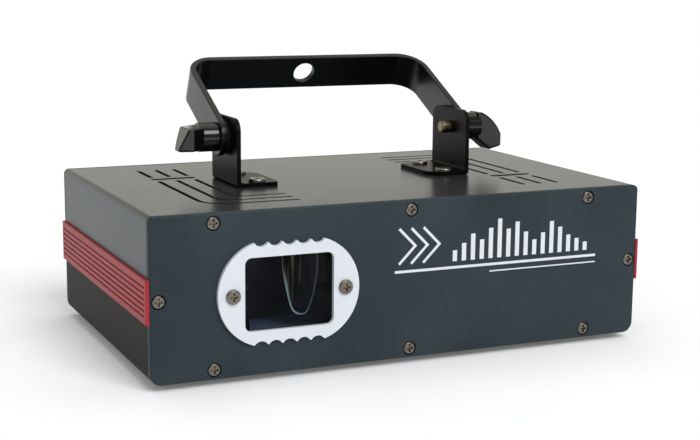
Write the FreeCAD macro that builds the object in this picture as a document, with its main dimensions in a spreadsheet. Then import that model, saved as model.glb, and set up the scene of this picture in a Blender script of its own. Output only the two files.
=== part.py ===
"""Laser show projector: two half shells between end panels, with a tilting yoke on top."""
import FreeCAD, Part
import math
import os
import re
from types import SimpleNamespace

Vector = FreeCAD.Vector
Rotation = FreeCAD.Rotation
Placement = FreeCAD.Placement
X_AXIS = Vector(1, 0, 0)
Y_AXIS = Vector(0, 1, 0)
Z_AXIS = Vector(0, 0, 1)
NEAR = 1e-4

# Driving dimensions in millimetres, and angles in degrees
SIZES = {
    # housing, with the front panel and the rear plate in its depth
    "width": 240, "height": 71.6, "depth": 147, "wall": 1.6, "panel": 3, "rear_plate": 2,
    "bottom_round": 5, "top_round": 2.5, "panel_round": 0.8, "overrun": 1,
    # small screws and the channels that they cut into
    "screw_size": 3, "thread_fit": 0.1, "hole_fit": 0.4, "screw_head": 5.6, "head_height": 1.7,
    "head_round": 0.7, "head_fit": 0.8, "screw_length": 12, "short_screw_length": 6,
    "cross_length": 3.6, "cross_width": 1, "cross_depth": 1.1,
    "edge_inset": 4.3, "side_inset": 4, "screw_inset": 28, "boss_size": 7,
    # rubber feet pushed through the floor
    "foot_height": 3, "foot_size": 14, "foot_round": 1, "foot_side": 45, "foot_inset": 25,
    "foot_stem": 5, "bulb_size": 6.6, "bulb_height": 2,
    # ribbed side rails
    "trim_proud": 1.5, "trim_height": 19.3, "trim_round": 0.6, "trim_rim": 2.2, "web_height": 6,
    "rail_depth": 5, "rail_height": 10, "groove_width": 0.9, "groove_depth": 0.5,
    # vent slots in the roof
    "slot_width": 2.3, "cross_slot_width": 4, "vent_inset": 50, "column_pitch": 9, "vent_row": 37,
    "row_pitch": 8.5, "vent_bend": 6, "bend_step": 3, "row_length": 24, "vent_back": 22,
    "short_length": 21, "cross_gap": 7,
    # aperture plate, glass and gasket
    "aperture_inset": 61.5, "plate_width": 64.8, "plate_height": 44.2, "plate_thick": 2,
    "crest_inset": 16.1, "scallop_radius": 3.6, "scallop_depth": 1.6,
    "plate_rim": 12, "plate_lip": 6.1, "opening_round": 3, "glass_margin": 2.4,
    "glass_thick": 1.8, "glass_fit": 0.4, "gasket_thick": 0.6, "gasket_width": 1.9,
    "plate_screw_inset": 6.6, "plate_head": 1.5, "plate_head_size": 6.4,
    # top brackets
    "pivot_shift": 2.5, "pivot_rise": 22, "bracket_inset": 59.5, "bracket_thick": 2,
    "bracket_width": 35, "upright_rise": 31.5, "upright_round": 6, "tread_length": 20.8, "tip_round": 9,
    "tip_corner": 2.5, "bend_round": 1.5, "bracket_screw_inset": 11.5, "bracket_screw_gap": 26,
    "bracket_screw_size": 4, "bracket_head": 8, "bracket_head_height": 1.4, "nut_across": 7,
    "nut_height": 3.2, "nut_proud": 1,
    # yoke and its knobs
    "yoke_tilt": 63.5, "yoke_reach": 58, "strip_width": 17.5, "strip_thick": 3, "yoke_bend": 14,
    "strip_round": 0.5, "clamp_hole": 11, "washer_thick": 1, "washer_size": 16, "washer_fit": 0.6,
    "running_gap": 0.1,
    "stud_size": 6, "stud_fit": 0.1, "stud_tip": 5, "stud_chamfer": 0.8, "stud_seat": 9,
    "hub_size": 13.6, "hub_height": 9, "lever_reach": 12, "lever_height": 22.3, "lever_thick": 10.5,
    "lever_middle": 19.1, "lever_slope": 27, "lever_round": 1, "left_turn": 0, "right_turn": 90,
    # optics deck and what stands on it
    "deck_inset": 32, "deck_right": 8, "deck_front": 8, "deck_back": 104, "deck_thick": 3,
    "standoff_height": 8, "standoff_size": 6, "standoff_inset": 5, "standoff_bore_depth": 6.5,
    "beam_rise": 9, "green_shift": 17.5, "red_shift": 12.5, "module_size": 12, "module_length": 34,
    "module_setback": 68, "module_fit": 0.05, "lens_size": 6, "lens_depth": 3,
    "mount_width": 22, "mount_height": 18, "mount_length": 20,
    "combiner_setback": 59, "mirror_side": 12, "mirror_rise": 14, "mirror_thick": 1.5,
    "post_size": 6, "post_height": 3,
    # scanner with its two mirrors
    "scan_shift": 14.5, "scan_setback": 22, "block_wide": 27.5, "block_near": 28.5, "block_setback": 46,
    "block_thick": 4, "block_clear": 4.4, "arm_thick": 5, "arm_width": 24,
    "motor_size": 15, "motor_length": 10, "motor_roof_gap": 1, "motor_boss": 6, "motor_boss_length": 1.5,
    "pin_size": 2, "pin_fit": 0.1, "pin_depth": 6, "clip_size": 6, "clip_length": 7, "clip_gap": 1,
    "oval_width": 17, "oval_gap": 6.3, "oval_shoulder": 8.3, "oval_tip": 4.4, "glass_plate": 1.6, "grip": 4,
    "scan_rise": 26, "y_mirror_width": 11, "y_mirror_length": 18, "beam_hole": 9,
    # circuit boards
    "board_thick": 1.6, "board_left": 14, "board_inset": 34, "main_front": 10,
    "power_clearance": 29, "power_depth": 46, "board_gap": 6,
    "chip_width": 14, "chip_height": 2, "can_size": 10, "can_height": 18, "header_width": 10,
    "header_depth": 6, "header_height": 8, "coil_width": 22, "coil_height": 22, "sink_width": 30,
    "sink_thick": 3, "sink_height": 24,
    # cooling fan on the rear plate, at the start of a row of devices with like gaps
    "rear_margin": 8, "fan_clear": 21.6, "fan_depth": 15, "fan_round": 4, "fan_rim": 1.5,
    "fan_hole_inset": 5,
    "fan_hub": 23, "fan_hub_depth": 10, "fan_tip_gap": 1, "fan_base_size": 23, "fan_base_thick": 2,
    "fan_strut": 3, "axle_size": 3, "axle_fit": 0.1, "axle_depth": 8, "fan_clearance": 1,
    "blade_thick": 1.2, "blade_chord": 10, "blade_pitch": 42, "guard_thick": 1.5, "guard_ring": 2,
    "guard_pitch": 5.5, "eyelet_size": 7,
    # signal sockets
    "flange_width": 26, "flange_height": 31, "flange_thick": 2,
    "flange_round": 3, "barrel_size": 23.6, "barrel_depth": 20, "socket_fit": 0.4, "cavity_size": 19,
    "cavity_depth": 15, "flange_screw_wide": 19, "flange_screw_high": 24, "contact_size": 2.4,
    "contact_circle": 8, "contact_length": 11, "insert_size": 15.5, "insert_drop": 1,
    # mains inlet
    "inlet_flange_width": 46, "inlet_flange_height": 23,
    "inlet_width": 28, "inlet_height": 20, "inlet_depth": 22, "well_width": 24.6, "well_height": 16.8,
    "well_depth": 17, "inlet_screw_gap": 40, "blade_width": 4, "blade_height": 2, "blade_length": 13,
    "blade_gap": 14, "earth_rise": 2, "live_drop": 3,
    # power switch
    "switch_width": 13, "switch_height": 17, "switch_depth": 14, "bezel_lip": 1,
    "bezel_thick": 2, "rocker_width": 9, "rocker_height": 13, "rocker_depth": 5, "rocker_gap": 1,
    "rocker_dip": 1.4, "rocker_proud": 2.6, "rocker_tilt": 9, "trunnion_size": 2, "trunnion_grip": 0.6,
    # menu board with its display, buttons and sensitivity dial
    "menu_gap": 8, "menu_width": 34, "menu_low": 9, "menu_head": 9.6,
    "display_width": 21, "display_height": 12, "display_fit": 0.4,
    "button_pitch": 8, "button_size": 4.8, "button_fit": 0.6, "button_collar": 6.8,
    "collar_thick": 1, "button_proud": 2, "tact_size": 6, "tact_gap": 1,
    "dial_shift": 3.5, "dial_size": 13, "dial_length": 11, "dial_gap": 0.6,
    "dial_round": 0.8, "dial_mark": 1, "shaft_size": 6, "shaft_fit": 0.1, "bushing_size": 9,
    "bushing_fit": 0.2, "pot_size": 14, "mic_shift": 8.5, "mic_size": 6, "mic_hole": 2.5,
    "spacer_size": 5, "spacer_inset": 3.5,
}

# Places that follow from the driving dimensions
DERIVED = {
    "front_proud": "=plate_thick+plate_head",
    "rear_proud": "=dial_gap+dial_length",
    "front_y": "=-(depth+front_proud+rear_proud)/2+front_proud",
    "rear_y": "=front_y+depth",
    "inner_y": "=front_y+panel",
    "back_y": "=rear_y-rear_plate",
    "base_z": "=foot_height",
    "top_z": "=base_z+height",
    "mid_z": "=base_z+height/2",
    "floor_z": "=base_z+wall",
    "roof_z": "=top_z-wall",
    "screw_spread": "=width/2-screw_inset",
    "foot_spread": "=width/2-foot_side",
    "vent_column": "=width/2-vent_inset",
    "row_end": "=vent_column-row_length",
    "short_end": "=depth-vent_back",
    "short_start": "=short_end-short_length",
    "cross_slot_setback": "=short_start-cross_gap",
    "long_start": "=cross_slot_setback-cross_gap",
    "aperture_offset": "=width/2-aperture_inset",
    "opening_width": "=plate_width-2*plate_rim",
    "opening_height": "=plate_height-2*plate_lip",
    "crest_width": "=plate_width-2*crest_inset",
    "plate_screw_spread": "=plate_width/2-plate_screw_inset",
    "pivot_setback": "=depth/2+pivot_shift",
    "upright_face": "=width/2-bracket_inset",
    "foot_tip": "=upright_face-tread_length",
    "bracket_screw_in": "=upright_face-bracket_screw_inset",
    "pivot_y": "=front_y+pivot_setback",
    "pivot_z": "=top_z+pivot_rise",
    "leg_in": "=upright_face+washer_thick+running_gap",
    "leg_out": "=leg_in+strip_thick",
    "hub_in": "=leg_out+running_gap",
    "deck_left": "=width/2-deck_inset",
    "deck_z": "=floor_z+standoff_height",
    "deck_top": "=deck_z+deck_thick",
    "board_top": "=deck_z+board_thick",
    "beam_z": "=deck_top+beam_rise",
    "green_beam": "=aperture_offset+green_shift",
    "red_beam": "=aperture_offset-red_shift",
    "mount_setback": "=module_setback+(module_length-mount_length)/2",
    "scan_offset": "=aperture_offset-scan_shift",
    "block_left": "=aperture_offset+block_wide",
    "block_right": "=aperture_offset-block_near",
    "block_rise": "=roof_z-deck_top-block_clear",
    "scan_y": "=front_y+scan_setback",
    "scan_z": "=deck_top+scan_rise",
    "block_y": "=front_y+block_setback",
    "motor_top": "=roof_z-motor_roof_gap",
    "motor_low": "=motor_top-motor_length",
    "oval_top": "=motor_low-motor_boss_length-clip_gap-clip_length+grip",
    "oval_height": "=oval_top-deck_top-oval_gap",
    "board_right": "=width/2-board_inset",
    "power_back": "=depth-power_clearance",
    "power_front": "=power_back-power_depth",
    "main_back": "=power_front-board_gap",
    "fan_size": "=height-fan_clear",
    "fan_bore": "=fan_size-2*fan_rim",
    "fan_hole_gap": "=fan_size-2*fan_hole_inset",
    "rear_row": "=fan_size+2*flange_width+menu_width+inlet_flange_width",
    "rear_gap": "=(width-2*rear_margin-rear_row)/4",
    "fan_inset": "=rear_margin+fan_size/2",
    "fan_x": "=-(width/2-fan_inset)",
    "fan_y": "=back_y-fan_depth",
    "dmx_left": "=-(fan_x+fan_size/2+rear_gap+flange_width/2)",
    "dmx_right": "=flange_width+rear_gap-dmx_left",
    "menu_left": "=dmx_right+flange_width/2+rear_gap",
    "menu_right": "=menu_left+menu_width",
    "dial_offset": "=(menu_left+menu_right)/2+dial_shift",
    "mic_offset": "=(menu_left+menu_right)/2-mic_shift",
    "inlet_inset": "=rear_margin+inlet_flange_width/2",
    "inlet_x": "=width/2-inlet_inset",
    "bezel_height": "=switch_height+2*bezel_lip",
    "device_gap": "=(height-2*edge_inset-screw_head-inlet_flange_height-bezel_height)/3",
    "inlet_rise": "=edge_inset+screw_head/2+device_gap+inlet_flange_height/2",
    "inlet_z": "=base_z+inlet_rise",
    "switch_rise": "=height-edge_inset-screw_head/2-device_gap-bezel_height/2",
    "switch_z": "=base_z+switch_rise",
    "menu_y": "=back_y-menu_gap",
    "menu_high": "=height-menu_head",
    "menu_step": "=(menu_high-menu_low-display_height-button_collar-pot_size)/4",
    "display_rise": "=menu_high-menu_step-display_height/2",
    "dial_rise": "=menu_low+menu_step+pot_size/2",
    "button_rise": "=dial_rise+pot_size/2+menu_step+button_collar/2",
    "display_z": "=base_z+display_rise",
    "button_z": "=base_z+button_rise",
    "dial_z": "=base_z+dial_rise",
    "glass_width": "=opening_width+2*glass_margin",
    "glass_height": "=opening_height+2*glass_margin",
}

doc = FreeCAD.newDocument("laser_projector")
sheet = doc.addObject("Spreadsheet::Sheet", "Sizes")
for row, (name, value) in enumerate([*SIZES.items(), *DERIVED.items()], 1):
    sheet.set(f"A{row}", name)
    sheet.set(f"B{row}", str(value))
    sheet.setAlias(f"B{row}", name)
doc.recompute()
s = SimpleNamespace(**{name: float(sheet.get(name)) for name in [*SIZES, *DERIVED]})
NODES = {}


def bound(text):
    """An expression in which each size is read from the sheet."""
    return re.sub(r"[a-z_]+", lambda m: "Sizes." + m.group() if hasattr(s, m.group()) else m.group(),
                  text)


def put(item, x, y, z):
    for axis, text in zip("xyz", (x, y, z)):
        item.setExpression(".Placement.Base." + axis, bound(text))
    return item


def box(name, x, y, z):
    """A block between a low and a high limit on each axis."""
    item = doc.addObject("Part::Box", name)
    for side, (low, high) in zip(("Length", "Width", "Height"), (x, y, z)):
        item.setExpression(side, bound(f"({high}) - ({low})"))
    return put(item, x[0], y[0], z[0])


def around(middle, size):
    """The limits of a size centred on a place."""
    return f"({middle}) - ({size})/2", f"({middle}) + ({size})/2"


def rod(name, along, limits, centre, across):
    """A round bar along one axis, with its centre given on the other two."""
    item = doc.addObject("Part::Cylinder", name)
    item.setExpression("Radius", bound(f"({across})/2"))
    item.setExpression("Height", bound(f"({limits[1]}) - ({limits[0]})"))
    item.Placement = Placement(Vector(), Rotation(Z_AXIS, {"x": X_AXIS, "y": Y_AXIS, "z": Z_AXIS}[along]))
    spots = dict(zip([axis for axis in "xyz" if axis != along], centre))
    spots[along] = limits[0]
    return put(item, spots["x"], spots["y"], spots["z"])


def join(name, *parts):
    item = doc.addObject("Part::MultiFuse", name)
    item.Shapes = list(parts)
    item.Refine = True
    return item


def cut(name, base, *tools):
    item = doc.addObject("Part::Cut", name)
    item.Base = base
    item.Tool = tools[0] if len(tools) == 1 else join(name + "_tools", *tools)
    return item


def overlap(name, base, tool):
    item = doc.addObject("Part::Common", name)
    item.Base = base
    item.Tool = tool
    return item


def mirrored(name, source, normal=X_AXIS):
    """The same piece on the other side of the middle plane, or of the pivots' plane."""
    item = doc.addObject("Part::Mirroring", name)
    item.Source = source
    item.Normal = normal
    item.setExpression("Base.y", bound("pivot_y"))
    return item


def rounded(name, base, radius_of):
    """The base with each edge rounded by the radius that radius_of gives for it."""
    doc.recompute()
    item = doc.addObject("Part::Fillet", name)
    item.Base = base
    radii = [(number, radius_of(edge)) for number, edge in enumerate(base.Shape.Edges, 1)]
    item.Edges = [(number, radius, radius) for number, radius in radii if radius]
    return item


def runs_along(edge, axis):
    """Whether an edge is straight and parallel to an axis."""
    if not isinstance(edge.Curve, Part.Line):
        return False
    return abs(edge.tangentAt(edge.FirstParameter).dot(axis)) > 1 - NEAR


def lies_at(edge, axis, place):
    """Whether a whole edge lies in the plane across an axis at a place."""
    box_low, box_high = getattr(edge.BoundBox, axis + "Min"), getattr(edge.BoundBox, axis + "Max")
    return abs(box_low - place) < NEAR and abs(box_high - place) < NEAR


def padded(name, plane, edges, thickness):
    """A body padded evenly to both sides of an origin plane from a closed outline."""
    body = doc.addObject("PartDesign::Body", name)
    sketch = body.newObject("Sketcher::SketchObject", name + "_outline")
    support = next(item for item in body.Origin.OriginFeatures if item.Role == plane)
    sketch.AttachmentSupport = (support, [""])
    sketch.MapMode = "FlatFace"
    sketch.addGeometry(edges, False)
    pad = body.newObject("PartDesign::Pad", name + "_pad")
    pad.Profile = sketch
    pad.SideType = "Symmetric"
    pad.setExpression("Length", bound(thickness))
    body.Tip = pad
    return body


def outline(*points):
    """A closed outline of lines, and of arcs where a middle point stands between two others."""
    edges = []
    ends = [point for point in points if not isinstance(point, tuple)]
    last = ends[0]
    middle = None
    for point in [*points[1:], ends[0]]:
        if isinstance(point, tuple):
            middle = point[0]
            continue
        edges.append(Part.Arc(last, middle, point) if middle else Part.LineSegment(last, point))
        last = point
        middle = None
    return edges


def node(label, item):
    """Names a finished sub-part and keeps it for export."""
    item.Label = label
    NODES[label] = item
    return item


def group(label, source, places):
    """One sub-part of like pieces: copies of a source, each at a point with its axis along a direction."""
    doc.recompute()
    pieces = []
    for point, direction in places:
        piece = source.Shape.copy()
        piece.Placement = Placement(point, Rotation(Z_AXIS, direction))
        pieces.append(piece)
    item = doc.addObject("Part::Feature", label + "_group")
    item.Shape = Part.makeCompound(pieces)
    return node(label, item)


def bases(items):
    """The places of a row of holes, read back from the model."""
    doc.recompute()
    return [item.Placement.Base for item in items]


def screw(name, size, head, rise, length):
    """A cross recess screw along Z, with the seat of its head at zero."""
    cap = rod(name + "_cap", "z", ("0", rise), ("0", "0"), head)
    cap = rounded(name + "_dome", cap, lambda edge: s.head_round if edge.CenterOfMass.z > NEAR
                  and edge.Closed else 0)
    shank = rod(name + "_shank", "z", (f"-({length})", f"({rise})/2"), ("0", "0"), size)
    depth = (f"{rise} - cross_depth", f"{rise} + overrun")
    slots = [box(f"{name}_slot_{turn}", around("0", wide), around("0", deep), depth)
             for turn, (wide, deep) in enumerate([("cross_length", "cross_width"),
                                                  ("cross_width", "cross_length")])]
    return cut(name, join(name + "_solid", cap, shank), *slots)


def long_edges(bottom, top):
    """Radii for the edges along the depth, below and above the middle."""
    def radius(edge):
        if not runs_along(edge, Y_AXIS):
            return 0
        return bottom if edge.CenterOfMass.z < s.mid_z else top
    return radius


def edges_along(axis, radius):
    return lambda edge: radius if runs_along(edge, axis) else 0


PANEL_SPOTS = [(x, z) for z in ("base_z + edge_inset", "top_z - edge_inset")
               for x in ("-screw_spread", "0", "screw_spread")]
SIDE_SPOTS = [("-(width/2 - side_inset)", "mid_z"), ("width/2 - side_inset", "mid_z")]


# Half shells

def vent_cutters():
    """Nested bent slots, short slots and a cross slot, on the left and turned half round on the right."""
    reach = s.wall + 2 * s.overrun

    def straight(start, end, width):
        ahead = (end - start).normalize() * (width / 2)
        side = ahead.cross(Z_AXIS)
        rim = outline(start + side, end + side, (end + ahead,), end - side, start - side,
                      (start - ahead,))
        return Part.Wire([edge.toShape() for edge in rim])

    def bent(start, corner, end, bend, width):
        before = corner + (start - corner).normalize() * bend
        after = corner + (end - corner).normalize() * bend
        middle = before + after - corner + (corner * 2 - before - after) * math.sqrt(0.5)
        path = [Part.LineSegment(start, before), Part.Arc(before, middle, after),
                Part.LineSegment(after, end)]
        spine = Part.Wire([edge.toShape() for edge in path])
        return spine.makeOffset2D(width / 2, 0, False, False, False)

    def spot(x, setback):
        return Vector(x, s.front_y + setback, s.roof_z - s.overrun)

    rims = []
    for step in range(3):
        column = -(s.vent_column + step * s.column_pitch)
        row = s.vent_row - step * s.row_pitch
        rims.append(bent(spot(column, s.long_start), spot(column, row), spot(-s.row_end, row),
                         s.vent_bend + step * s.bend_step, s.slot_width))
        rims.append(straight(spot(column, s.short_start), spot(column, s.short_end), s.slot_width))
    outer = -(s.vent_column + 2 * s.column_pitch)
    rims.append(straight(spot(outer, s.cross_slot_setback), spot(-s.vent_column, s.cross_slot_setback),
                         s.cross_slot_width))
    left = Part.makeCompound([Part.Face(rim).extrude(Z_AXIS * reach) for rim in rims])
    right = left.copy()
    right.rotate(Vector(0, s.front_y + s.depth / 2, 0), Z_AXIS, 180)
    item = doc.addObject("Part::Feature", "vent_cutters")
    item.Shape = Part.makeCompound([left, right])
    return item


def shell_half(name, tube, limits, channel_z, root):
    """One half of the tube with its three screw channels: the channel ribs reach from root."""
    keep = box(name + "_keep", around("0", "width + 2*overrun"),
               ("inner_y - overrun", "back_y + overrun"),
               limits)
    parts = [overlap(name + "_skin", tube, keep)]
    bores = []
    for number, x in enumerate(("-screw_spread", "0", "screw_spread")):
        parts.append(box(f"{name}_rib_{number}", around(x, "boss_size"), ("inner_y", "back_y"), root))
        parts.append(rod(f"{name}_boss_{number}", "y", ("inner_y", "back_y"), (x, channel_z),
                         "boss_size"))
        bores.append(rod(f"{name}_bore_{number}", "y", ("inner_y - overrun", "back_y + overrun"),
                         (x, channel_z), "screw_size + thread_fit"))
    return join(name + "_blank", *parts), bores


def shells():
    depth = ("inner_y", "back_y")
    skin = rounded("skin", box("skin_block", around("0", "width"), depth, ("base_z", "top_z")),
                   long_edges(s.bottom_round, s.top_round))
    hollow_block = box("hollow_block", around("0", "width - 2*wall"),
                       ("inner_y - overrun", "back_y + overrun"), ("floor_z", "roof_z"))
    hollow = rounded("hollow", hollow_block, long_edges(s.bottom_round - s.wall, s.top_round - s.wall))
    tube = cut("skin_tube", skin, hollow)
    upper, upper_bores = shell_half("upper", tube, ("mid_z + web_height/2", "top_z + overrun"),
                                    "top_z - edge_inset", ("top_z - edge_inset", "top_z - wall/2"))
    lower, lower_bores = shell_half("lower", tube, ("base_z - overrun", "mid_z - web_height/2"),
                                    "base_z + edge_inset", ("base_z + wall/2", "base_z + edge_inset"))
    bolts = [rod(f"bracket_bolt_hole_{number}", "z", ("roof_z - overrun", "top_z + overrun"), spot,
                 "bracket_screw_size + hole_fit") for number, spot in enumerate(BRACKET_SPOTS)]
    node("upper_shell", cut("upper_cut", upper, vent_cutters(), *upper_bores, *bolts))
    stems = [rod(f"foot_hole_{number}", "z", ("base_z - overrun", "floor_z + overrun"), spot,
                 "foot_stem + thread_fit") for number, spot in enumerate(FOOT_SPOTS)]
    node("lower_shell", cut("lower_cut", lower, *lower_bores, *stems))


BRACKET_SPOTS = [(f"{side}bracket_screw_in", f"pivot_y {way} bracket_screw_gap/2")
                 for side in ("-", "") for way in "-+"]
FOOT_SPOTS = [(f"{side}foot_spread", y) for side in ("-", "")
              for y in ("front_y + foot_inset", "rear_y - foot_inset")]


def rubber_feet():
    """A low disc with a stem through the floor and a bulb that holds it there."""
    disc = rod("foot_disc", "z", ("0", "foot_height"), ("0", "0"), "foot_size")
    disc = rounded("foot_pad", disc,
                   lambda edge: s.foot_round if edge.Closed and edge.CenterOfMass.z < NEAR
                   else 0)
    stem = rod("foot_neck", "z", ("foot_height/2", "foot_height + wall + bulb_height/2"), ("0", "0"),
               "foot_stem")
    bulb = rod("foot_bulb", "z", ("foot_height + wall", "foot_height + wall + bulb_height"), ("0", "0"),
               "bulb_size")
    spots = bases([rod(f"foot_mark_{number}", "z", ("0", "foot_height"), spot, "foot_stem")
                   for number, spot in enumerate(FOOT_SPOTS)])
    group("rubber_feet", join("foot", disc, stem, bulb), [(spot, Z_AXIS) for spot in spots])


def side_trims():
    """A ribbed band outside, a web in the seam and a screw rail inside."""
    band = box("trim_block", ("width/2", "width/2 + trim_proud"), ("front_y", "rear_y"),
               around("mid_z", "trim_height"))
    band = rounded("trim_band", band, lambda edge: s.trim_round
                   if lies_at(edge, "X", s.width / 2 + s.trim_proud) else 0)
    web = box("trim_web", ("width/2 - wall", "width/2 + trim_proud/2"), ("inner_y", "back_y"),
              around("mid_z", "web_height"))
    rail = box("trim_rail", ("width/2 - wall - rail_depth", "width/2 - wall"), ("inner_y", "back_y"),
               around("mid_z", "rail_height"))
    bore = rod("trim_bore", "y", ("inner_y - overrun", "back_y + overrun"), SIDE_SPOTS[1],
               "screw_size + thread_fit")
    groove_count = 6
    low = "mid_z - trim_height/2 + trim_rim"
    pitch = f"(trim_height - 2*trim_rim)/{groove_count}"
    grooves = [box(f"trim_groove_{number}",
                   ("width/2 + trim_proud - groove_depth", "width/2 + trim_proud + overrun"),
                   ("front_y + trim_rim", "rear_y - trim_rim"),
                   around(f"{low} + ({number} + 0.5)*{pitch}", "groove_width"))
               for number in range(groove_count)]
    right = cut("trim_right", join("trim_solid", band, web, rail), bore, *grooves)
    node("side_trim_right", right)
    node("side_trim_left", mirrored("trim_left", right))


# End panels

def panel_blank(name, limits):
    block = box(name + "_block", around("0", "width"), limits, ("base_z", "top_z"))
    return rounded(name, block, long_edges(s.bottom_round, s.top_round))


def screw_holes(name, limits, spots, across):
    return [rod(f"{name}_{number}", "y", limits, spot, across) for number, spot in enumerate(spots)]


def soft_box(name, x, y, z, axis, radius):
    """A block with its edges along one axis rounded."""
    return rounded(name, box(name + "_block", x, y, z), edges_along(axis, radius))


def window_block(name, limits, width, height, radius):
    return soft_box(name, around("-aperture_offset", width), limits, around("mid_z", height), Y_AXIS,
                    radius)


def front_panel():
    blank = panel_blank("front_blank", ("front_y", "inner_y"))
    soft = rounded("front_soft", blank,
                   lambda edge: s.panel_round if lies_at(edge, "Y", s.front_y) else 0)
    through = ("front_y - overrun", "inner_y + overrun")
    spots = PANEL_SPOTS + SIDE_SPOTS
    holes = screw_holes("front_hole", through, spots, "screw_size + hole_fit")
    sinks = screw_holes("front_sink", ("front_y - overrun", "front_y + head_height"), spots,
                        "screw_head + head_fit")
    taps = screw_holes("plate_tap", through, PLATE_SPOTS, "screw_size + thread_fit")
    recess = window_block("glass_recess", ("front_y - overrun", "front_y + glass_thick + gasket_thick"),
                          "glass_width", "glass_height", s.opening_round)
    view = window_block("panel_view", through, "glass_width - 2*gasket_width",
                        "glass_height - 2*gasket_width", s.opening_round)
    node("front_panel", cut("front_cut", soft, *holes, *sinks, *taps, recess, view))
    pin = screw("panel_screw", "screw_size", "screw_head", "head_height", "screw_length")
    seats = [(Vector(spot.x, s.front_y + s.head_height, spot.z), -Y_AXIS) for spot in bases(holes)]
    group("front_screws", pin, seats)
    return pin


PLATE_SPOTS = [(f"-aperture_offset {way} plate_screw_spread", "mid_z") for way in "-+"]


def aperture():
    """A white plate with bowed sides and scalloped crests, holding the glass against its gasket."""
    half, crest, rise = s.plate_width / 2, s.crest_width / 2, s.plate_height / 2
    edges = outline(Vector(-crest, rise, 0), Vector(crest, rise, 0), (Vector(half, 0, 0),),
                    Vector(crest, -rise, 0), Vector(-crest, -rise, 0), (Vector(-half, 0, 0),))
    blank = padded("plate_blank", "XZ_Plane", edges, "plate_thick")
    put(blank, "-aperture_offset", "front_y - plate_thick/2", "mid_z")
    through = ("front_y - plate_thick - overrun", "front_y + overrun")
    scallop_count = 5
    pitch = f"crest_width/{scallop_count}"
    scallops = []
    for way in (-1, 1):
        for number in range(scallop_count):
            x = f"-aperture_offset - crest_width/2 + ({number} + 0.5)*{pitch}"
            z = f"mid_z + {way}*(plate_height/2 + scallop_radius - scallop_depth)"
            scallops.append(rod(f"scallop_{way + 1}_{number}", "y", through, (x, z), "2*scallop_radius"))
    holes = screw_holes("plate_hole", through, PLATE_SPOTS, "screw_size + hole_fit")
    view = window_block("plate_view", through, "opening_width", "opening_height", s.opening_round)
    node("aperture_plate", cut("plate_cut", blank, *scallops, *holes, view))
    pin = screw("plate_screw", "screw_size", "plate_head_size", "plate_head", "plate_thick + panel")
    group("aperture_screws", pin, [(Vector(spot.x, s.front_y - s.plate_thick, spot.z), -Y_AXIS)
                                   for spot in bases(holes)])
    node("window_glass", window_block("glass", ("front_y", "front_y + glass_thick"),
                                      "glass_width - glass_fit", "glass_height - glass_fit",
                                      s.opening_round))
    ring = window_block("gasket_ring", ("front_y + glass_thick", "front_y + glass_thick + gasket_thick"),
                        "glass_width - glass_fit", "glass_height - glass_fit", s.opening_round)
    inside = window_block("gasket_inside", ("front_y", "inner_y"), "glass_width - 2*gasket_width",
                          "glass_height - 2*gasket_width", s.opening_round)
    node("window_gasket", cut("gasket_cut", ring, inside))


FAN_SPOTS = [(f"fan_x {way} fan_hole_gap/2",
              f"mid_z {lift} fan_hole_gap/2") for way in "-+" for lift in "-+"]
DMX_MIDDLES = ["-dmx_left", "dmx_right"]
FLANGE_SPOTS = [(f"{x} {way} flange_screw_wide/2", f"mid_z {lift} flange_screw_high/2")
                for x in DMX_MIDDLES for way, lift in ("-+", "+-")]
INLET_SPOTS = [(f"inlet_x {way} inlet_screw_gap/2", "inlet_z") for way in "-+"]
BUTTON_XS = [f"(menu_left + menu_right)/2 + ({number} - 1.5)*button_pitch" for number in range(4)]
SPACER_SPOTS = [(x, z) for x in ("menu_left + spacer_inset", "menu_right - spacer_inset")
                for z in ("base_z + menu_low + spacer_inset", "base_z + menu_high - spacer_inset")]


def rear_panel(pin):
    blank = panel_blank("rear_blank", ("back_y", "rear_y"))
    through = ("back_y - overrun", "rear_y + overrun")
    spots = PANEL_SPOTS + SIDE_SPOTS
    holes = screw_holes("rear_hole", through, spots, "screw_size + hole_fit")
    small = screw_holes("device_hole", through, FAN_SPOTS + FLANGE_SPOTS + INLET_SPOTS,
                        "screw_size + thread_fit")
    cutters = [rod("fan_opening", "y", through, ("fan_x", "mid_z"), "fan_bore")]
    cutters += [rod(f"dmx_opening_{number}", "y", through, (x, "mid_z"), "barrel_size + socket_fit")
                for number, x in enumerate(DMX_MIDDLES)]
    cutters.append(box("inlet_opening", around("inlet_x", "inlet_width + socket_fit"), through,
                       around("inlet_z", "inlet_height + socket_fit")))
    cutters.append(box("switch_opening", around("inlet_x", "switch_width + socket_fit"), through,
                       around("switch_z", "switch_height + socket_fit")))
    cutters.append(box("display_opening",
                       around("(menu_left + menu_right)/2", "display_width + display_fit"),
                       through, around("display_z", "display_height + display_fit")))
    cutters += [rod(f"button_opening_{number}", "y", through, (x, "button_z"), "button_size + button_fit")
                for number, x in enumerate(BUTTON_XS)]
    cutters.append(rod("dial_opening", "y", through, ("dial_offset", "dial_z"),
                       "bushing_size + bushing_fit"))
    cutters.append(rod("mic_opening", "y", through, ("mic_offset", "dial_z"), "mic_hole"))
    node("rear_panel", cut("rear_cut", blank, *holes, *small, *cutters))
    group("rear_screws", pin, [(Vector(spot.x, s.rear_y, spot.z), Y_AXIS) for spot in bases(holes)])
    seats = [s.guard_thick] * len(FAN_SPOTS) + [s.flange_thick] * (len(FLANGE_SPOTS) + len(INLET_SPOTS))
    device = screw("device_screw", "screw_size", "screw_head", "head_height", "short_screw_length")
    group("panel_screws", device, [(Vector(spot.x, s.rear_y + seat, spot.z), Y_AXIS)
                                   for spot, seat in zip(bases(small), seats)])
    return device


# Brackets, yoke and knobs

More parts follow.
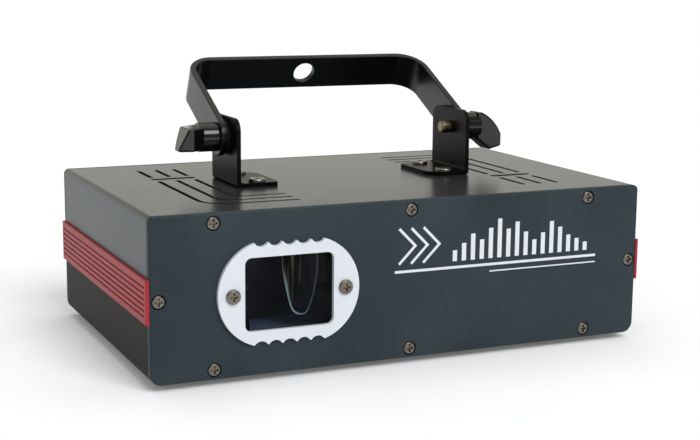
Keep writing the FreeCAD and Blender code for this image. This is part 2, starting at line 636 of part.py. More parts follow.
def brackets():
    """Two alike bent plates, face to face, with one corner of each foot well rounded."""
    across = around("pivot_y", "bracket_width")
    upright = box("upright_block", ("upright_face - bracket_thick", "upright_face"), across,
                  ("top_z", "top_z + upright_rise"))
    upright = rounded("upright", upright, lambda edge: s.upright_round if runs_along(edge, X_AXIS)
                      and edge.CenterOfMass.z > s.top_z + s.bracket_thick else 0)
    tread = box("tread_block", ("foot_tip", "upright_face"), across, ("top_z", "top_z + bracket_thick"))
    inner_face = s.upright_face - s.bracket_thick

    def tip(edge):
        if not runs_along(edge, Z_AXIS) or edge.CenterOfMass.x > inner_face:
            return 0
        return s.tip_round if edge.CenterOfMass.y < s.pivot_y else s.tip_corner

    tread = rounded("tread", tread, tip)

    def bend(edge):
        if not runs_along(edge, Y_AXIS):
            return 0
        if lies_at(edge, "X", s.upright_face) and lies_at(edge, "Z", s.top_z):
            return s.bend_round
        inside = lies_at(edge, "X", inner_face) and lies_at(edge, "Z", s.top_z + s.bracket_thick)
        return s.bend_round if inside else 0

    angle = rounded("angle", join("angle_solid", upright, tread), bend)
    pivot = rod("bracket_pivot", "x", ("foot_tip", "upright_face + overrun"), ("pivot_y", "pivot_z"),
                "stud_size + stud_fit")
    holes = [rod(f"bracket_hole_{number}", "z", ("top_z - overrun", "pivot_z"), spot,
                 "bracket_screw_size + hole_fit") for number, spot in enumerate(BRACKET_SPOTS)]
    right = cut("angle_right", angle, pivot, *holes[2:])
    node("bracket_right", right)
    node("bracket_left", mirrored("angle_left", mirrored("angle_turned", right, Y_AXIS)))
    bolt = screw("bracket_bolt", "bracket_screw_size", "bracket_head", "bracket_head_height",
                 "bracket_thick + wall + nut_height + nut_proud")
    spots = bases(holes)
    group("bracket_screws", bolt, [(Vector(spot.x, spot.y, s.top_z + s.bracket_thick), Z_AXIS)
                                   for spot in spots])
    hexagon = doc.addObject("Part::Prism", "nut_hexagon")
    hexagon.Polygon = 6
    hexagon.setExpression("Circumradius", bound("nut_across/sqrt(3)"))
    hexagon.setExpression("Height", bound("nut_height"))
    thread = rod("nut_thread", "z", ("-overrun", "nut_height + overrun"), ("0", "0"),
                 "bracket_screw_size + thread_fit")
    group("bracket_nuts", cut("nut", hexagon, thread),
          [(Vector(spot.x, spot.y, s.roof_z - s.nut_height), Z_AXIS) for spot in spots])


def yoke():
    """A flat strip bent to a U, drawn upright about its pivot and then tilted back."""
    outside = box("yoke_outside", around("0", "2*leg_out"), around("0", "strip_width"),
                  ("-strip_width/2", "yoke_reach"))
    outside = rounded("yoke_bent", outside, lambda edge: s.yoke_bend if runs_along(edge, Y_AXIS)
                      and edge.CenterOfMass.z > 0 else 0)
    inside = box("yoke_gap", around("0", "2*leg_in"), around("0", "strip_width + 2*overrun"),
                 ("-strip_width", "yoke_reach - strip_thick"))
    inside = rounded("yoke_gap_bent", inside, lambda edge: s.yoke_bend - s.strip_thick
                     if runs_along(edge, Y_AXIS) and edge.CenterOfMass.z > 0 else 0)
    strip = cut("yoke_strip", outside, inside)
    strip = rounded("yoke_ends", strip, lambda edge: s.strip_width / 2 - s.strip_round
                    if runs_along(edge, X_AXIS) and edge.CenterOfMass.z < 0 else 0)
    strip = rounded("yoke_soft", strip, lambda edge: s.strip_round
                    if any(lies_at(edge, "Y", way * s.strip_width / 2) for way in (-1, 1)) else 0)
    pivot = rod("yoke_pivot", "x", around("0", "2*leg_out + 2*overrun"), ("0", "0"),
                "stud_size + stud_fit")
    clamp = rod("yoke_clamp", "z", ("0", "yoke_reach + overrun"), ("0", "0"), "clamp_hole")
    item = node("yoke", cut("yoke_cut", strip, pivot, clamp))
    item.Placement = Placement(Vector(), Rotation(X_AXIS, -s.yoke_tilt))
    put(item, "0", "pivot_y", "pivot_z")


def washers():
    ring = rod("washer_disc", "z", ("0", "washer_thick"), ("0", "0"), "washer_size")
    hole = rod("washer_hole", "z", ("-overrun", "washer_thick + overrun"), ("0", "0"),
               "stud_size + washer_fit")
    group("friction_washers", cut("washer", ring, hole),
          [(Vector(way * s.upright_face, s.pivot_y, s.pivot_z), X_AXIS * way) for way in (-1, 1)])


def knob_shapes():
    """A lever knob and its stud, along Z with the foot of the hub at zero and the lever along X."""
    hub = rod("knob_hub", "z", ("0", "hub_height"), ("0", "0"), "hub_size")
    shares = [(-0.58, 0.34), (-0.58, 0.45), (-0.17, 0.76), (0.64, 1), (0.83, 1), (1, 0.65), (0.54, 0.34)]
    rim = [Vector(x * s.lever_reach, z * s.lever_height, 0) for x, z in shares]
    lever = padded("knob_lever", "XZ_Plane", outline(rim[0], rim[1], (rim[2],), *rim[3:]), "lever_thick")
    above = box("knob_slant", ("-2*lever_reach", "2*lever_reach"), ("-lever_thick", "2*lever_thick"),
                ("0", "lever_height"))
    above.Placement = Placement(Vector(), Rotation(X_AXIS, -s.lever_slope))
    put(above, "-2*lever_reach", "-lever_thick", "lever_middle + tan(lever_slope)*lever_thick")
    lever = rounded("knob_lever_soft", cut("knob_slanted", lever, above), lambda edge: s.lever_round)
    bore = rod("knob_bore", "z", ("-overrun", "stud_seat"), ("0", "0"), "stud_size + stud_fit")
    knob = cut("knob", join("knob_solid", hub, lever), bore)
    reach = "hub_in - upright_face + bracket_thick + stud_tip"
    stud = rod("stud_rod", "z", (f"-({reach})", "stud_seat"), ("0", "0"), "stud_size")
    stud = rounded("stud", stud,
                   lambda edge: s.stud_chamfer if edge.Closed and edge.CenterOfMass.z < 0 else 0)
    return knob, stud


def knobs():
    """The levers stand as they were left, one towards the front and one down."""
    knob, stud = knob_shapes()
    doc.recompute()
    for side, way, angle in (("left", -1, s.left_turn), ("right", 1, s.right_turn)):
        down = math.radians(angle)
        arm = Vector(0, -math.cos(down), -math.sin(down))
        turn = Rotation(arm, Vector(), X_AXIS * way, "ZXY")
        for label, source in ((f"knob_{side}", knob), (f"stud_{side}", stud)):
            item = doc.addObject("Part::Feature", label + "_piece")
            item.Shape = source.Shape.copy()
            item.Placement = Placement(Vector(way * s.hub_in, s.pivot_y, s.pivot_z), turn)
            node(label, item)


# Optics

def deck_spots(left, right, front, back):
    return [(x, y) for x in (f"{left} + standoff_inset", f"{right} - standoff_inset")
            for y in (f"front_y + {front} + standoff_inset", f"front_y + {back} - standoff_inset")]


DECK_SPOTS = deck_spots("-deck_left", "-deck_right", "deck_front", "deck_back")
MAIN_SPOTS = deck_spots("board_left", "board_right", "main_front", "main_back")
POWER_SPOTS = deck_spots("board_left", "board_right", "power_front", "power_back")
BEAMS = ["-green_beam", "-red_beam"]


def plate_on_pillars(label, x, y, top, spots):
    """A flat plate on the pillars, with a hole over each."""
    slab = box(label + "_slab", x, y, ("deck_z", top))
    holes = [rod(f"{label}_hole_{number}", "z", ("deck_z - overrun", f"{top} + overrun"), spot,
                 "screw_size + hole_fit") for number, spot in enumerate(spots)]
    node(label, cut(label + "_cut", slab, *holes))
    return bases(holes)


def decks_and_boards():
    deck = plate_on_pillars("optics_deck", ("-deck_left", "-deck_right"),
                            ("front_y + deck_front", "front_y + deck_back"), "deck_top", DECK_SPOTS)
    main = plate_on_pillars("main_board", ("board_left", "board_right"),
                            ("front_y + main_front", "front_y + main_back"), "board_top", MAIN_SPOTS)
    power = plate_on_pillars("power_board", ("board_left", "board_right"),
                             ("front_y + power_front", "front_y + power_back"), "board_top", POWER_SPOTS)
    pillar = rod("pillar", "z", ("0", "standoff_height"), ("0", "0"), "standoff_size")
    bore = rod("pillar_bore", "z", ("standoff_height - standoff_bore_depth", "standoff_height + overrun"),
               ("0", "0"), "screw_size + thread_fit")
    group("standoffs", cut("pillar_cut", pillar, bore),
          [(Vector(spot.x, spot.y, s.floor_z), Z_AXIS) for spot in deck + main + power])
    return [(spot, s.deck_top) for spot in deck] + [(spot, s.board_top) for spot in main + power]


def inner_screws(device, seats):
    group("inner_screws", device, [(Vector(spot.x, spot.y, z), Z_AXIS) for spot, z in seats])


def lasers():
    """Two brass barrels in aluminium blocks, both firing forward."""
    barrels, blocks = [], []
    start = "front_y + module_setback"
    for number, x in enumerate(BEAMS):
        barrel = rod(f"barrel_{number}", "y", (start, f"{start} + module_length"), (x, "beam_z"),
                     "module_size")
        lens = rod(f"barrel_lens_{number}", "y", (f"{start} - overrun", f"{start} + lens_depth"),
                   (x, "beam_z"), "lens_size")
        barrels.append(cut(f"module_{number}", barrel, lens))
        mount = "front_y + mount_setback"
        block = box(f"mount_block_{number}", around(x, "mount_width"),
                    (mount, f"{mount} + mount_length"), ("deck_top", "deck_top + mount_height"))
        seat = rod(f"mount_bore_{number}", "y",
                   (f"{mount} - overrun", f"{mount} + mount_length + overrun"),
                   (x, "beam_z"), "module_size + 2*module_fit")
        blocks.append(cut(f"mount_{number}", block, seat))
    for label, items in (("laser_modules", barrels), ("laser_mounts", blocks)):
        item = doc.addObject("Part::Compound", label + "_set")
        item.Links = items
        node(label, item)


def fixed_mirrors():
    """Two upright glass plates that join the beams and one leaning plate that turns them up."""
    plate = box("fold_glass", around("0", "mirror_side"), ("0", "mirror_thick"), ("0", "mirror_rise"))
    post = join("fold_post", box("post_foot", around("0", "mirror_side"), ("-post_size", "mirror_thick"),
                                 ("-post_height", "0")),
                box("post_back", around("0", "mirror_side"), ("-post_size", "0"),
                    ("-post_height", "mirror_rise")))
    doc.recompute()
    slope = s.mirror_rise * math.sqrt(0.5)
    low = s.beam_z - s.deck_top - slope / 2
    edges = outline(Vector(-slope / 2, 0, 0), Vector(slope / 2, 0, 0), Vector(slope / 2, low, 0),
                    Vector(-slope / 2, low + slope, 0))
    wedge = padded("fold_wedge", "YZ_Plane", edges, "mirror_side")
    doc.recompute()
    base = s.deck_top + s.post_height
    upright = [(Vector(-s.green_beam, s.front_y + s.combiner_setback, base), Rotation(Z_AXIS, -45)),
               (Vector(-s.red_beam, s.front_y + s.combiner_setback, base), Rotation(Z_AXIS, 135))]
    leaning = (Vector(-s.green_beam, s.scan_y + slope / 2, s.deck_top + low), Rotation(X_AXIS, 45))
    standing = (Vector(-s.green_beam, s.scan_y, s.deck_top), Rotation())
    sets = {"fixed_mirrors": [(plate, *spot) for spot in [*upright, leaning]],
            "mirror_posts": [(post, *spot) for spot in upright] + [(wedge, *standing)]}
    for label, members in sets.items():
        pieces = []
        for source, place, turn in members:
            piece = source.Shape.copy()
            piece.Placement = Placement(place, turn) * piece.Placement
            pieces.append(piece)
        item = doc.addObject("Part::Feature", label + "_set")
        item.Shape = Part.makeCompound(pieces)
        node(label, item)


def scanner():
    """An upright block with an arm: one motor hangs in the arm, the other stands behind the block."""
    wall = box("block_wall", ("-block_left", "-block_right"), ("block_y", "block_y + block_thick"),
               ("deck_top", "deck_top + block_rise"))
    arm = box("block_arm", around("-scan_offset", "arm_width"),
              ("scan_y - arm_width/2", "block_y + block_thick"),
              ("deck_top + block_rise - arm_thick", "deck_top + block_rise"))
    clasp = rod("block_clasp", "z", ("deck_top", "roof_z"), ("-scan_offset", "scan_y"),
                "motor_size + pin_fit")
    through = ("block_y - overrun", "block_y + block_thick + overrun")
    nose = rod("block_nose", "y", through, ("-green_beam", "scan_z"), "motor_boss + pin_fit")
    beams = rod("block_beam", "y", through, ("-green_beam", "beam_z"), "beam_hole")
    node("scanner_block", cut("block_cut", join("block_solid", wall, arm), clasp, nose, beams))

    body = rod("x_can", "z", ("motor_low", "motor_top"), ("-scan_offset", "scan_y"), "motor_size")
    boss = rod("x_boss", "z", ("motor_low - motor_boss_length", "motor_low + overrun"),
               ("-scan_offset", "scan_y"), "motor_boss")
    bore = rod("x_bore", "z", ("motor_low - motor_boss_length - overrun", "motor_low + pin_depth"),
               ("-scan_offset", "scan_y"), "pin_size + pin_fit")
    node("x_motor", cut("x_motor_cut", join("x_motor_solid", body, boss), bore))
    body = rod("y_can", "y", ("block_y + block_thick", "block_y + block_thick + motor_length"),
               ("-green_beam", "scan_z"), "motor_size")
    boss = rod("y_boss", "y", ("block_y", "block_y + block_thick + overrun"), ("-green_beam", "scan_z"),
               "motor_boss")
    bore = rod("y_bore", "y", ("block_y - overrun", "block_y + block_thick + pin_depth"),
               ("-green_beam", "scan_z"), "pin_size + pin_fit")
    node("y_motor", cut("y_motor_cut", join("y_motor_solid", body, boss), bore))


def clip_and_pin(name, reach):
    """A motor shaft along Z that ends in a slotted clip whose grip starts at zero and opens downward."""
    clip = rod(name + "_clip", "z", ("-grip", "clip_length - grip"), ("0", "0"), "clip_size")
    pin = rod(name + "_pin", "z", ("0", reach), ("0", "0"), "pin_size")
    gap = box(name + "_slit", around("0", "clip_size + 2*overrun"), around("0", "glass_plate"),
              ("-grip - overrun", "0"))
    return cut(name, join(name + "_solid", clip, pin), gap)


def scan_mirrors():
    """The tapered oval mirror hangs on an upright shaft, and the small one lies along the other shaft."""
    half = s.oval_width / 2
    fall = s.oval_height - s.oval_shoulder - s.oval_tip
    sweep = (half ** 2 + fall ** 2 - s.oval_tip ** 2) / (2 * (half - s.oval_tip))
    lean = math.asin(fall / (sweep - s.oval_tip))
    flank = [Vector(half - sweep + sweep * math.cos(turn), -s.oval_shoulder - sweep * math.sin(turn), 0)
             for turn in (0, lean / 2, lean)]
    back = [Vector(-point.x, point.y, 0) for point in flank]
    edges = outline(flank[0], (flank[1],), flank[2], (Vector(0, -s.oval_height, 0),), back[2], (back[1],),
                    back[0], (Vector(0, 0, 0),))
    oval = padded("oval", "XZ_Plane", edges, "glass_plate")
    small = box("small_mirror", around("0", "y_mirror_width"), around("0", "glass_plate"),
                ("-y_mirror_length", "0"))
    hang = clip_and_pin("x_clip",
                        "clip_length - grip + clip_gap + motor_boss_length + pin_depth - running_gap")
    lie = clip_and_pin("y_clip",
                       "block_y + block_thick + pin_depth - running_gap - scan_y - y_mirror_length/2")
    doc.recompute()
    down = Placement(Vector(-s.scan_offset, s.scan_y, s.oval_top), Rotation(Z_AXIS, -45))
    forward = Rotation(X_AXIS, -90) * Rotation(Z_AXIS, 45)
    along = Placement(Vector(-s.green_beam, s.scan_y + s.y_mirror_length / 2, s.scan_z), forward)
    for label, source, place in (("x_mirror", oval, down), ("x_shaft", hang, down),
                                 ("y_mirror", small, along), ("y_shaft", lie, along)):
        item = doc.addObject("Part::Feature", label + "_piece")
        item.Shape = source.Shape.copy()
        item.Placement = place * source.Shape.Placement
        node(label, item)


# Boards

def on_board(name, spot_shares, front, back, size, rise):
    """A block on a board, placed by shares of the board's width and depth."""
    across, along = spot_shares
    x = f"board_left + {across}*(board_right - board_left)"
    y = f"front_y + {front} + {along}*({back} - {front})"
    return box(name, around(x, size[0]), around(y, size[1]), ("board_top", f"board_top + {rise}"))


def board_parts():
    chip_shares = [(0.2, 0.5), (0.5, 0.5), (0.8, 0.5)]
    items = [on_board(f"chip_{number}", share, "main_front", "main_back", ("chip_width", "chip_width"),
                      "chip_height") for number, share in enumerate(chip_shares)]
    header_shares = [(0.28, 0.12), (0.5, 0.12), (0.72, 0.12), (0.3, 0.88), (0.7, 0.88)]
    items += [on_board(f"header_{number}", share, "main_front", "main_back",
                       ("header_width", "header_depth"), "header_height")
              for number, share in enumerate(header_shares)]
    parts = doc.addObject("Part::Compound", "main_parts_set")
    parts.Links = items
    node("main_board_parts", parts)

    items = [on_board("coil", (0.5, 0.55), "power_front", "power_back", ("coil_width", "coil_width"),
                      "coil_height"),
             on_board("sink", (0.5, 0.12), "power_front", "power_back", ("sink_width", "sink_thick"),
                      "sink_height")]
    can_shares = [(0.84, 0.4), (0.84, 0.68), (0.16, 0.4)]
    for number, (across, along) in enumerate(can_shares):
        x = f"board_left + {across}*(board_right - board_left)"
        y = f"front_y + power_front + {along}*(power_back - power_front)"
        items.append(rod(f"can_{number}", "z", ("board_top", "board_top + can_height"), (x, y),
                         "can_size"))
    parts = doc.addObject("Part::Compound", "power_parts_set")
    parts.Links = items
    node("power_parts", parts)


# Rear devices

def fan():
    depth = ("fan_y", "back_y")
    frame = soft_box("fan_block", around("fan_x", "fan_size"), depth, around("mid_z", "fan_size"),
                     Y_AXIS, s.fan_round)
    bore = rod("fan_tunnel", "y", ("fan_y - overrun", "back_y + overrun"), ("fan_x", "mid_z"), "fan_bore")
    holes = screw_holes("fan_hole", ("fan_y - overrun", "back_y + overrun"), FAN_SPOTS,
                        "screw_size + thread_fit")
    shell = cut("fan_shell", frame, bore, *holes)
    struts = [box("fan_strut_wide", around("fan_x", "fan_bore + overrun"),
                  ("fan_y", "fan_y + fan_base_thick"),
                  around("mid_z", "fan_strut")),
              box("fan_strut_high", around("fan_x", "fan_strut"), ("fan_y", "fan_y + fan_base_thick"),
                  around("mid_z", "fan_bore + overrun"))]
    base = rod("fan_base", "y", ("fan_y", "fan_y + fan_base_thick"), ("fan_x", "mid_z"), "fan_base_size")
    axle = rod("fan_axle", "y", ("fan_y + fan_base_thick/2", "fan_y + fan_base_thick + axle_depth"),
               ("fan_x", "mid_z"), "axle_size")
    node("fan_frame", join("fan_frame_solid", shell, base, axle, *struts))

    start = "fan_y + fan_base_thick + fan_clearance"
    hub = rod("rotor_hub", "y", (start, f"{start} + fan_hub_depth"), ("fan_x", "mid_z"), "fan_hub")
    hub = rounded("rotor_cap", hub, lambda edge: s.head_round if edge.Closed
                  and edge.CenterOfMass.y > s.back_y - s.fan_depth / 2 else 0)
    seat = rod("rotor_seat", "y",
               (f"{start} - overrun", f"{start} + axle_depth - fan_clearance + axle_fit"),
               ("fan_x", "mid_z"), "axle_size + axle_fit")
    sweep = rod("rotor_sweep", "y", (start, f"{start} + fan_hub_depth"), ("fan_x", "mid_z"),
                "fan_bore - 2*fan_tip_gap")
    doc.recompute()
    middle = Vector(s.fan_x, s.fan_y + s.fan_base_thick + s.fan_clearance + s.fan_hub_depth / 2, s.mid_z)
    blade_count = 7
    blades = []
    for number in range(blade_count):
        blade = Part.makeBox(s.blade_thick, s.blade_chord, s.fan_bore / 2,
                             Vector(-s.blade_thick / 2, -s.blade_chord / 2, s.fan_hub / 2 - s.overrun))
        blade.rotate(Vector(), Z_AXIS, s.blade_pitch)
        blade.rotate(Vector(), Y_AXIS, number * 360 / blade_count)
        blade.translate(middle)
        vane = doc.addObject("Part::Feature", f"rotor_vane_{number}")
        vane.Shape = blade.common(sweep.Shape)
        blades.append(vane)
    node("fan_rotor", cut("rotor_cut", join("rotor_solid", hub, *blades), seat))
    fan_guard()


def fan_guard():
    """A stamped guard: three rings, two spokes and an eyelet at each corner screw."""
    out = ("rear_y", "rear_y + guard_thick")
    past = ("rear_y - overrun", "rear_y + guard_thick + overrun")
    rings = []
    for number in range(4):
        size = f"fan_size - 2*{number}*guard_pitch"
        disc = rod(f"guard_disc_{number}", "y", out, ("fan_x", "mid_z"), size)
        hole = rod(f"guard_hole_{number}", "y", past, ("fan_x", "mid_z"), f"{size} - 2*guard_ring")
        rings.append(cut(f"guard_ring_{number}", disc, hole))
    spokes = []
    for turn in (45, 135):
        spoke = doc.addObject("Part::Box", f"guard_spoke_{turn}")
        spoke.setExpression("Length", bound("sqrt(2)*fan_hole_gap"))
        spoke.setExpression("Width", bound("guard_thick"))
        spoke.setExpression("Height", bound("guard_ring"))
        half = Vector(-s.fan_hole_gap * math.sqrt(0.5), 0, -s.guard_ring / 2)
        tilt = Rotation(Y_AXIS, turn)
        spoke.Placement = Placement(Vector(s.fan_x, s.rear_y, s.mid_z) + tilt.multVec(half), tilt)
        spokes.append(spoke)
    eyelets = screw_holes("guard_eyelet", out, FAN_SPOTS, "eyelet_size")
    holes = screw_holes("guard_screw_hole", past, FAN_SPOTS, "screw_size + hole_fit")
    node("fan_guard", cut("guard_cut", join("guard_solid", *rings, *spokes, *eyelets), *holes))


def contact_spots(x):
    """Three contacts on a circle about the middle of a socket."""
    return [(f"{x} + {math.cos(math.radians(turn))}*contact_circle/2",
             f"mid_z + {math.sin(math.radians(turn))}*contact_circle/2") for turn in (-30, 210, 90)]


def dmx_sockets():
    """An inlet with three pins in a round well, and an outlet with three contact holes."""
    out = ("rear_y", "rear_y + flange_thick")
    past = ("rear_y - barrel_depth", "rear_y + flange_thick + overrun")
    sockets, pins = [], []
    for number, x in enumerate(DMX_MIDDLES):
        flange = soft_box(f"dmx_flange_{number}", around(x, "flange_width"), out,
                          around("mid_z", "flange_height"), Y_AXIS, s.flange_round)
        barrel = rod(f"dmx_barrel_{number}", "y", ("rear_y - barrel_depth", "rear_y + flange_thick/2"),
                     (x, "mid_z"), "barrel_size")
        holes = screw_holes(f"dmx_screw_hole_{number}", ("rear_y - overrun", past[1]),
                            FLANGE_SPOTS[2 * number:2 * number + 2], "screw_size + hole_fit")
        well = rod(f"dmx_well_{number}", "y", ("rear_y + flange_thick - cavity_depth", past[1]),
                   (x, "mid_z"), "cavity_size")
        solid = cut(f"dmx_socket_{number}", join(f"dmx_solid_{number}", flange, barrel), well, *holes)
        contacts = screw_holes(f"dmx_contact_{number}",
                               ("rear_y + flange_thick - cavity_depth",
                                "rear_y + flange_thick - cavity_depth + contact_length"),
                               contact_spots(x), "contact_size")
        if number == 0:
            pins += contacts
        else:
            insert_span = ("rear_y + flange_thick - cavity_depth",
                           "rear_y + flange_thick - insert_drop")
            insert = rod("dmx_insert", "y", insert_span, (x, "mid_z"), "insert_size")
            ways = screw_holes("dmx_way", (insert_span[0], past[1]), contact_spots(x),
                               "contact_size + hole_fit")
            sockets.append(cut("dmx_core", insert, *ways))
        sockets.append(solid)
    item = doc.addObject("Part::Compound", "dmx_set")
    item.Links = sockets
    node("dmx_sockets", item)
    return pins


def inlet(pins):
    """A mains inlet with three blades in its well, and all the contact pins of the rear panel."""
    flange = soft_box("inlet_flange", around("inlet_x", "inlet_flange_width"),
                      ("rear_y", "rear_y + flange_thick"), around("inlet_z", "inlet_flange_height"),
                      Y_AXIS, s.flange_round)
    shell = box("inlet_shell", around("inlet_x", "inlet_width"),
                ("rear_y - inlet_depth", "rear_y + flange_thick/2"),
                around("inlet_z", "inlet_height"))
    well = soft_box("inlet_well", around("inlet_x", "well_width"),
                    ("rear_y + flange_thick - well_depth", "rear_y + flange_thick + overrun"),
                    around("inlet_z", "well_height"), Y_AXIS, s.flange_round)
    holes = screw_holes("inlet_hole", ("rear_y - overrun", "rear_y + flange_thick + overrun"),
                        INLET_SPOTS,
                        "screw_size + hole_fit")
    node("inlet", cut("inlet_cut", join("inlet_solid", flange, shell), well, *holes))
    spots = [("inlet_x - blade_gap/2", "inlet_z - live_drop"),
             ("inlet_x + blade_gap/2", "inlet_z - live_drop"),
             ("inlet_x", "inlet_z + earth_rise")]
    root = "rear_y + flange_thick - well_depth"
    blades = [box(f"inlet_blade_{number}", around(x, "blade_height"), (root, f"{root} + blade_length"),
                  around(z, "blade_width")) for number, (x, z) in enumerate(spots)]
    item = doc.addObject("Part::Compound", "pins_set")
    item.Links = [*pins, *blades]
    node("connector_pins", item)


def power_switch():
    """A bezel box with a rocker on two trunnions, resting with its lower half pressed in."""
    bezel = soft_box("switch_bezel", around("inlet_x", "switch_width + 2*bezel_lip"),
                     ("rear_y", "rear_y + bezel_thick"), around("switch_z", "bezel_height"),
                     Y_AXIS, s.bezel_lip)
    body = box("switch_body", around("inlet_x", "switch_width"),
               ("rear_y - switch_depth", "rear_y + bezel_thick/2"),
               around("switch_z", "switch_height"))
    well = box("switch_well", around("inlet_x", "rocker_width + 2*rocker_gap"),
               ("rear_y - switch_depth + bezel_thick", "rear_y + bezel_thick + overrun"),
               around("switch_z", "rocker_height + 2*rocker_gap"))
    grip = "rocker_width + 2*rocker_gap + 2*trunnion_grip"
    pivot = rod("switch_pivot", "x", around("inlet_x", grip + " + 2*running_gap"), ("rear_y", "switch_z"),
                "trunnion_size + pin_fit")
    node("power_switch", cut("switch_cut", join("switch_solid", bezel, body), well, pivot))

    half = s.rocker_height / 2
    crest = s.bezel_thick + s.rocker_proud
    edges = outline(Vector(crest - s.rocker_dip, 0, 0), Vector(crest, half, 0),
                    Vector(-s.rocker_depth, half, 0),
                    (Vector(-s.rocker_depth - s.rocker_dip, 0, 0),), Vector(-s.rocker_depth, -half, 0),
                    Vector(crest, -half, 0))
    rocker = padded("rocker_blank", "YZ_Plane", edges, "rocker_width")
    trunnion = rod("rocker_trunnion", "x", around("0", grip), ("0", "0"), "trunnion_size")
    item = node("power_rocker", join("rocker_solid", rocker, trunnion))
    item.Placement = Placement(Vector(), Rotation(X_AXIS, s.rocker_tilt))
    put(item, "inlet_x", "rear_y", "switch_z")


def menu():
    """A small board behind the rear plate with the display, button switches, dial and microphone."""
    slab = box("menu_slab", ("menu_left", "menu_right"), ("menu_y - board_thick", "menu_y"),
               ("base_z + menu_low", "base_z + menu_high"))
    node("menu_board", slab)
    middle = "(menu_left + menu_right)/2"
    spacers = screw_holes("menu_spacer", ("menu_y", "back_y"), SPACER_SPOTS, "spacer_size")
    tacts = [box(f"tact_{number}", around(x, "tact_size"),
                 ("menu_y", "back_y - collar_thick - running_gap - tact_gap"), around("button_z",
                                                                                      "tact_size"))
             for number, x in enumerate(BUTTON_XS)]
    item = doc.addObject("Part::Compound", "menu_parts_set")
    item.Links = [*spacers, *tacts]
    node("menu_board_parts", item)
    node("display", box("display_block", around(middle, "display_width"), ("menu_y", "rear_y"),
                        around("display_z", "display_height")))
    for number, x in enumerate(BUTTON_XS):
        cap = rod(f"button_cap_{number}", "y",
                  ("back_y - running_gap - collar_thick/2", "rear_y + button_proud"),
                  (x, "button_z"), "button_size")
        cap = rounded(f"button_soft_{number}", cap, lambda edge: s.head_round if edge.Closed
                      and edge.CenterOfMass.y > s.rear_y else 0)
        collar = rod(f"button_collar_{number}", "y",
                     ("back_y - running_gap - collar_thick", "back_y - running_gap"),
                     (x, "button_z"), "button_collar")
        node(f"menu_button_{number + 1}", join(f"button_{number}", cap, collar))
    node("microphone", rod("mic_can", "y", ("menu_y", "back_y"), ("mic_offset", "dial_z"), "mic_size"))

    can = box("pot_can", around("dial_offset", "pot_size"), ("menu_y", "back_y"),
              around("dial_z", "pot_size"))
    neck = rod("pot_neck", "y", ("menu_y", "rear_y"), ("dial_offset", "dial_z"), "bushing_size")
    well = rod("pot_well", "y", ("menu_y + board_thick", "rear_y + overrun"), ("dial_offset", "dial_z"),
               "shaft_size + shaft_fit")
    node("dial_pot", cut("pot_cut", join("pot_solid", can, neck), well))
    grip = rod("dial_grip", "y", ("rear_y + dial_gap", "rear_y + dial_gap + dial_length"),
               ("dial_offset", "dial_z"), "dial_size")
    grip = rounded("dial_soft", grip, lambda edge: s.dial_round if edge.Closed
                   and edge.CenterOfMass.y > s.rear_y + s.dial_gap + NEAR else 0)
    shaft = rod("dial_shaft", "y", ("menu_y + board_thick + running_gap", "rear_y + dial_length/2"),
                ("dial_offset", "dial_z"), "shaft_size")
    mark = box("dial_line", around("dial_offset", "dial_mark"),
               ("rear_y + dial_gap + dial_length - dial_mark/2",
                "rear_y + dial_gap + dial_length + overrun"),
               ("dial_z", "dial_z + dial_size"))
    node("sensitivity_dial", cut("dial_cut", join("dial_solid", grip, shaft), mark))


def export():
    """Checks every object and writes each sub-part to its own file."""
    doc.recompute()
    failed = [item.Name for item in doc.Objects if {"Invalid", "Error"} & set(item.State)]
    empty = [label for label, item in NODES.items() if item.Shape.isNull() or not item.Shape.isValid()]
    renamed = [label for label, item in NODES.items() if item.Label != label]
    if failed or empty or renamed:
        raise RuntimeError(f"failed {failed}, empty or broken {empty}, renamed {renamed}")
    os.makedirs("parts", exist_ok=True)
    for label, item in NODES.items():
        item.Shape.exportStep(f"parts/{label}.step")


shells()
rubber_feet()
side_trims()
panel_pin = front_panel()
aperture()
device_pin = rear_panel(panel_pin)
brackets()
yoke()
washers()
knobs()
inner_screws(device_pin, decks_and_boards())
lasers()
fixed_mirrors()
scanner()
scan_mirrors()
board_parts()
fan()
inlet(dmx_sockets())
power_switch()
menu()
export()
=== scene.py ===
"""The looks of a laser show projector: its finishes, its printed motif, and a plain studio."""
import math

import bmesh
import bpy
from mathutils import Matrix, Vector


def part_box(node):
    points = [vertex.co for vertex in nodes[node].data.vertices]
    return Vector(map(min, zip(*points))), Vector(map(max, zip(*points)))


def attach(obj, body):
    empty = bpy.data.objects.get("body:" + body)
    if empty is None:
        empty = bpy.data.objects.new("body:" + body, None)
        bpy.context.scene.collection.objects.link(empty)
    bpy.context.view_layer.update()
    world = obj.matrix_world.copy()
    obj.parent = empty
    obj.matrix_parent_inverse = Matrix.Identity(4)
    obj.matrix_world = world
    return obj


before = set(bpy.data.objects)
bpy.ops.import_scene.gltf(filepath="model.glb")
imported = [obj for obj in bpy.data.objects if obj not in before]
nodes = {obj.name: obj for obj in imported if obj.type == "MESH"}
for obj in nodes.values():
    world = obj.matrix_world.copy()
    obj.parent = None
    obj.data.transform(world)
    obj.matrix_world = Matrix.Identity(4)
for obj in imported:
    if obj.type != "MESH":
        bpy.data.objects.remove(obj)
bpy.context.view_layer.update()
MM = 0.001
INK_MM = 0.05

# A Mix node's sockets go by number: its two colours and their mix, and its two values and their mix.
COLOR_A, COLOR_B, COLOR_MIX = 6, 7, 2
VALUE_A, VALUE_B, VALUE_MIX = 2, 3, 0


# Shader helpers

def paint(code):
    """An sRGB hex colour as linear red, green, blue and alpha, by the standard's own curve."""
    shares = [int(code[i:i + 2], 16) / 255 for i in (1, 3, 5)]
    return [c / 12.92 if c <= 0.04045 else ((c + 0.055) / 1.055) ** 2.4 for c in shares] + [1]


def per(size_mm):
    """The scale of a texture whose pattern has that size in millimetres."""
    return 1 / (size_mm * MM)


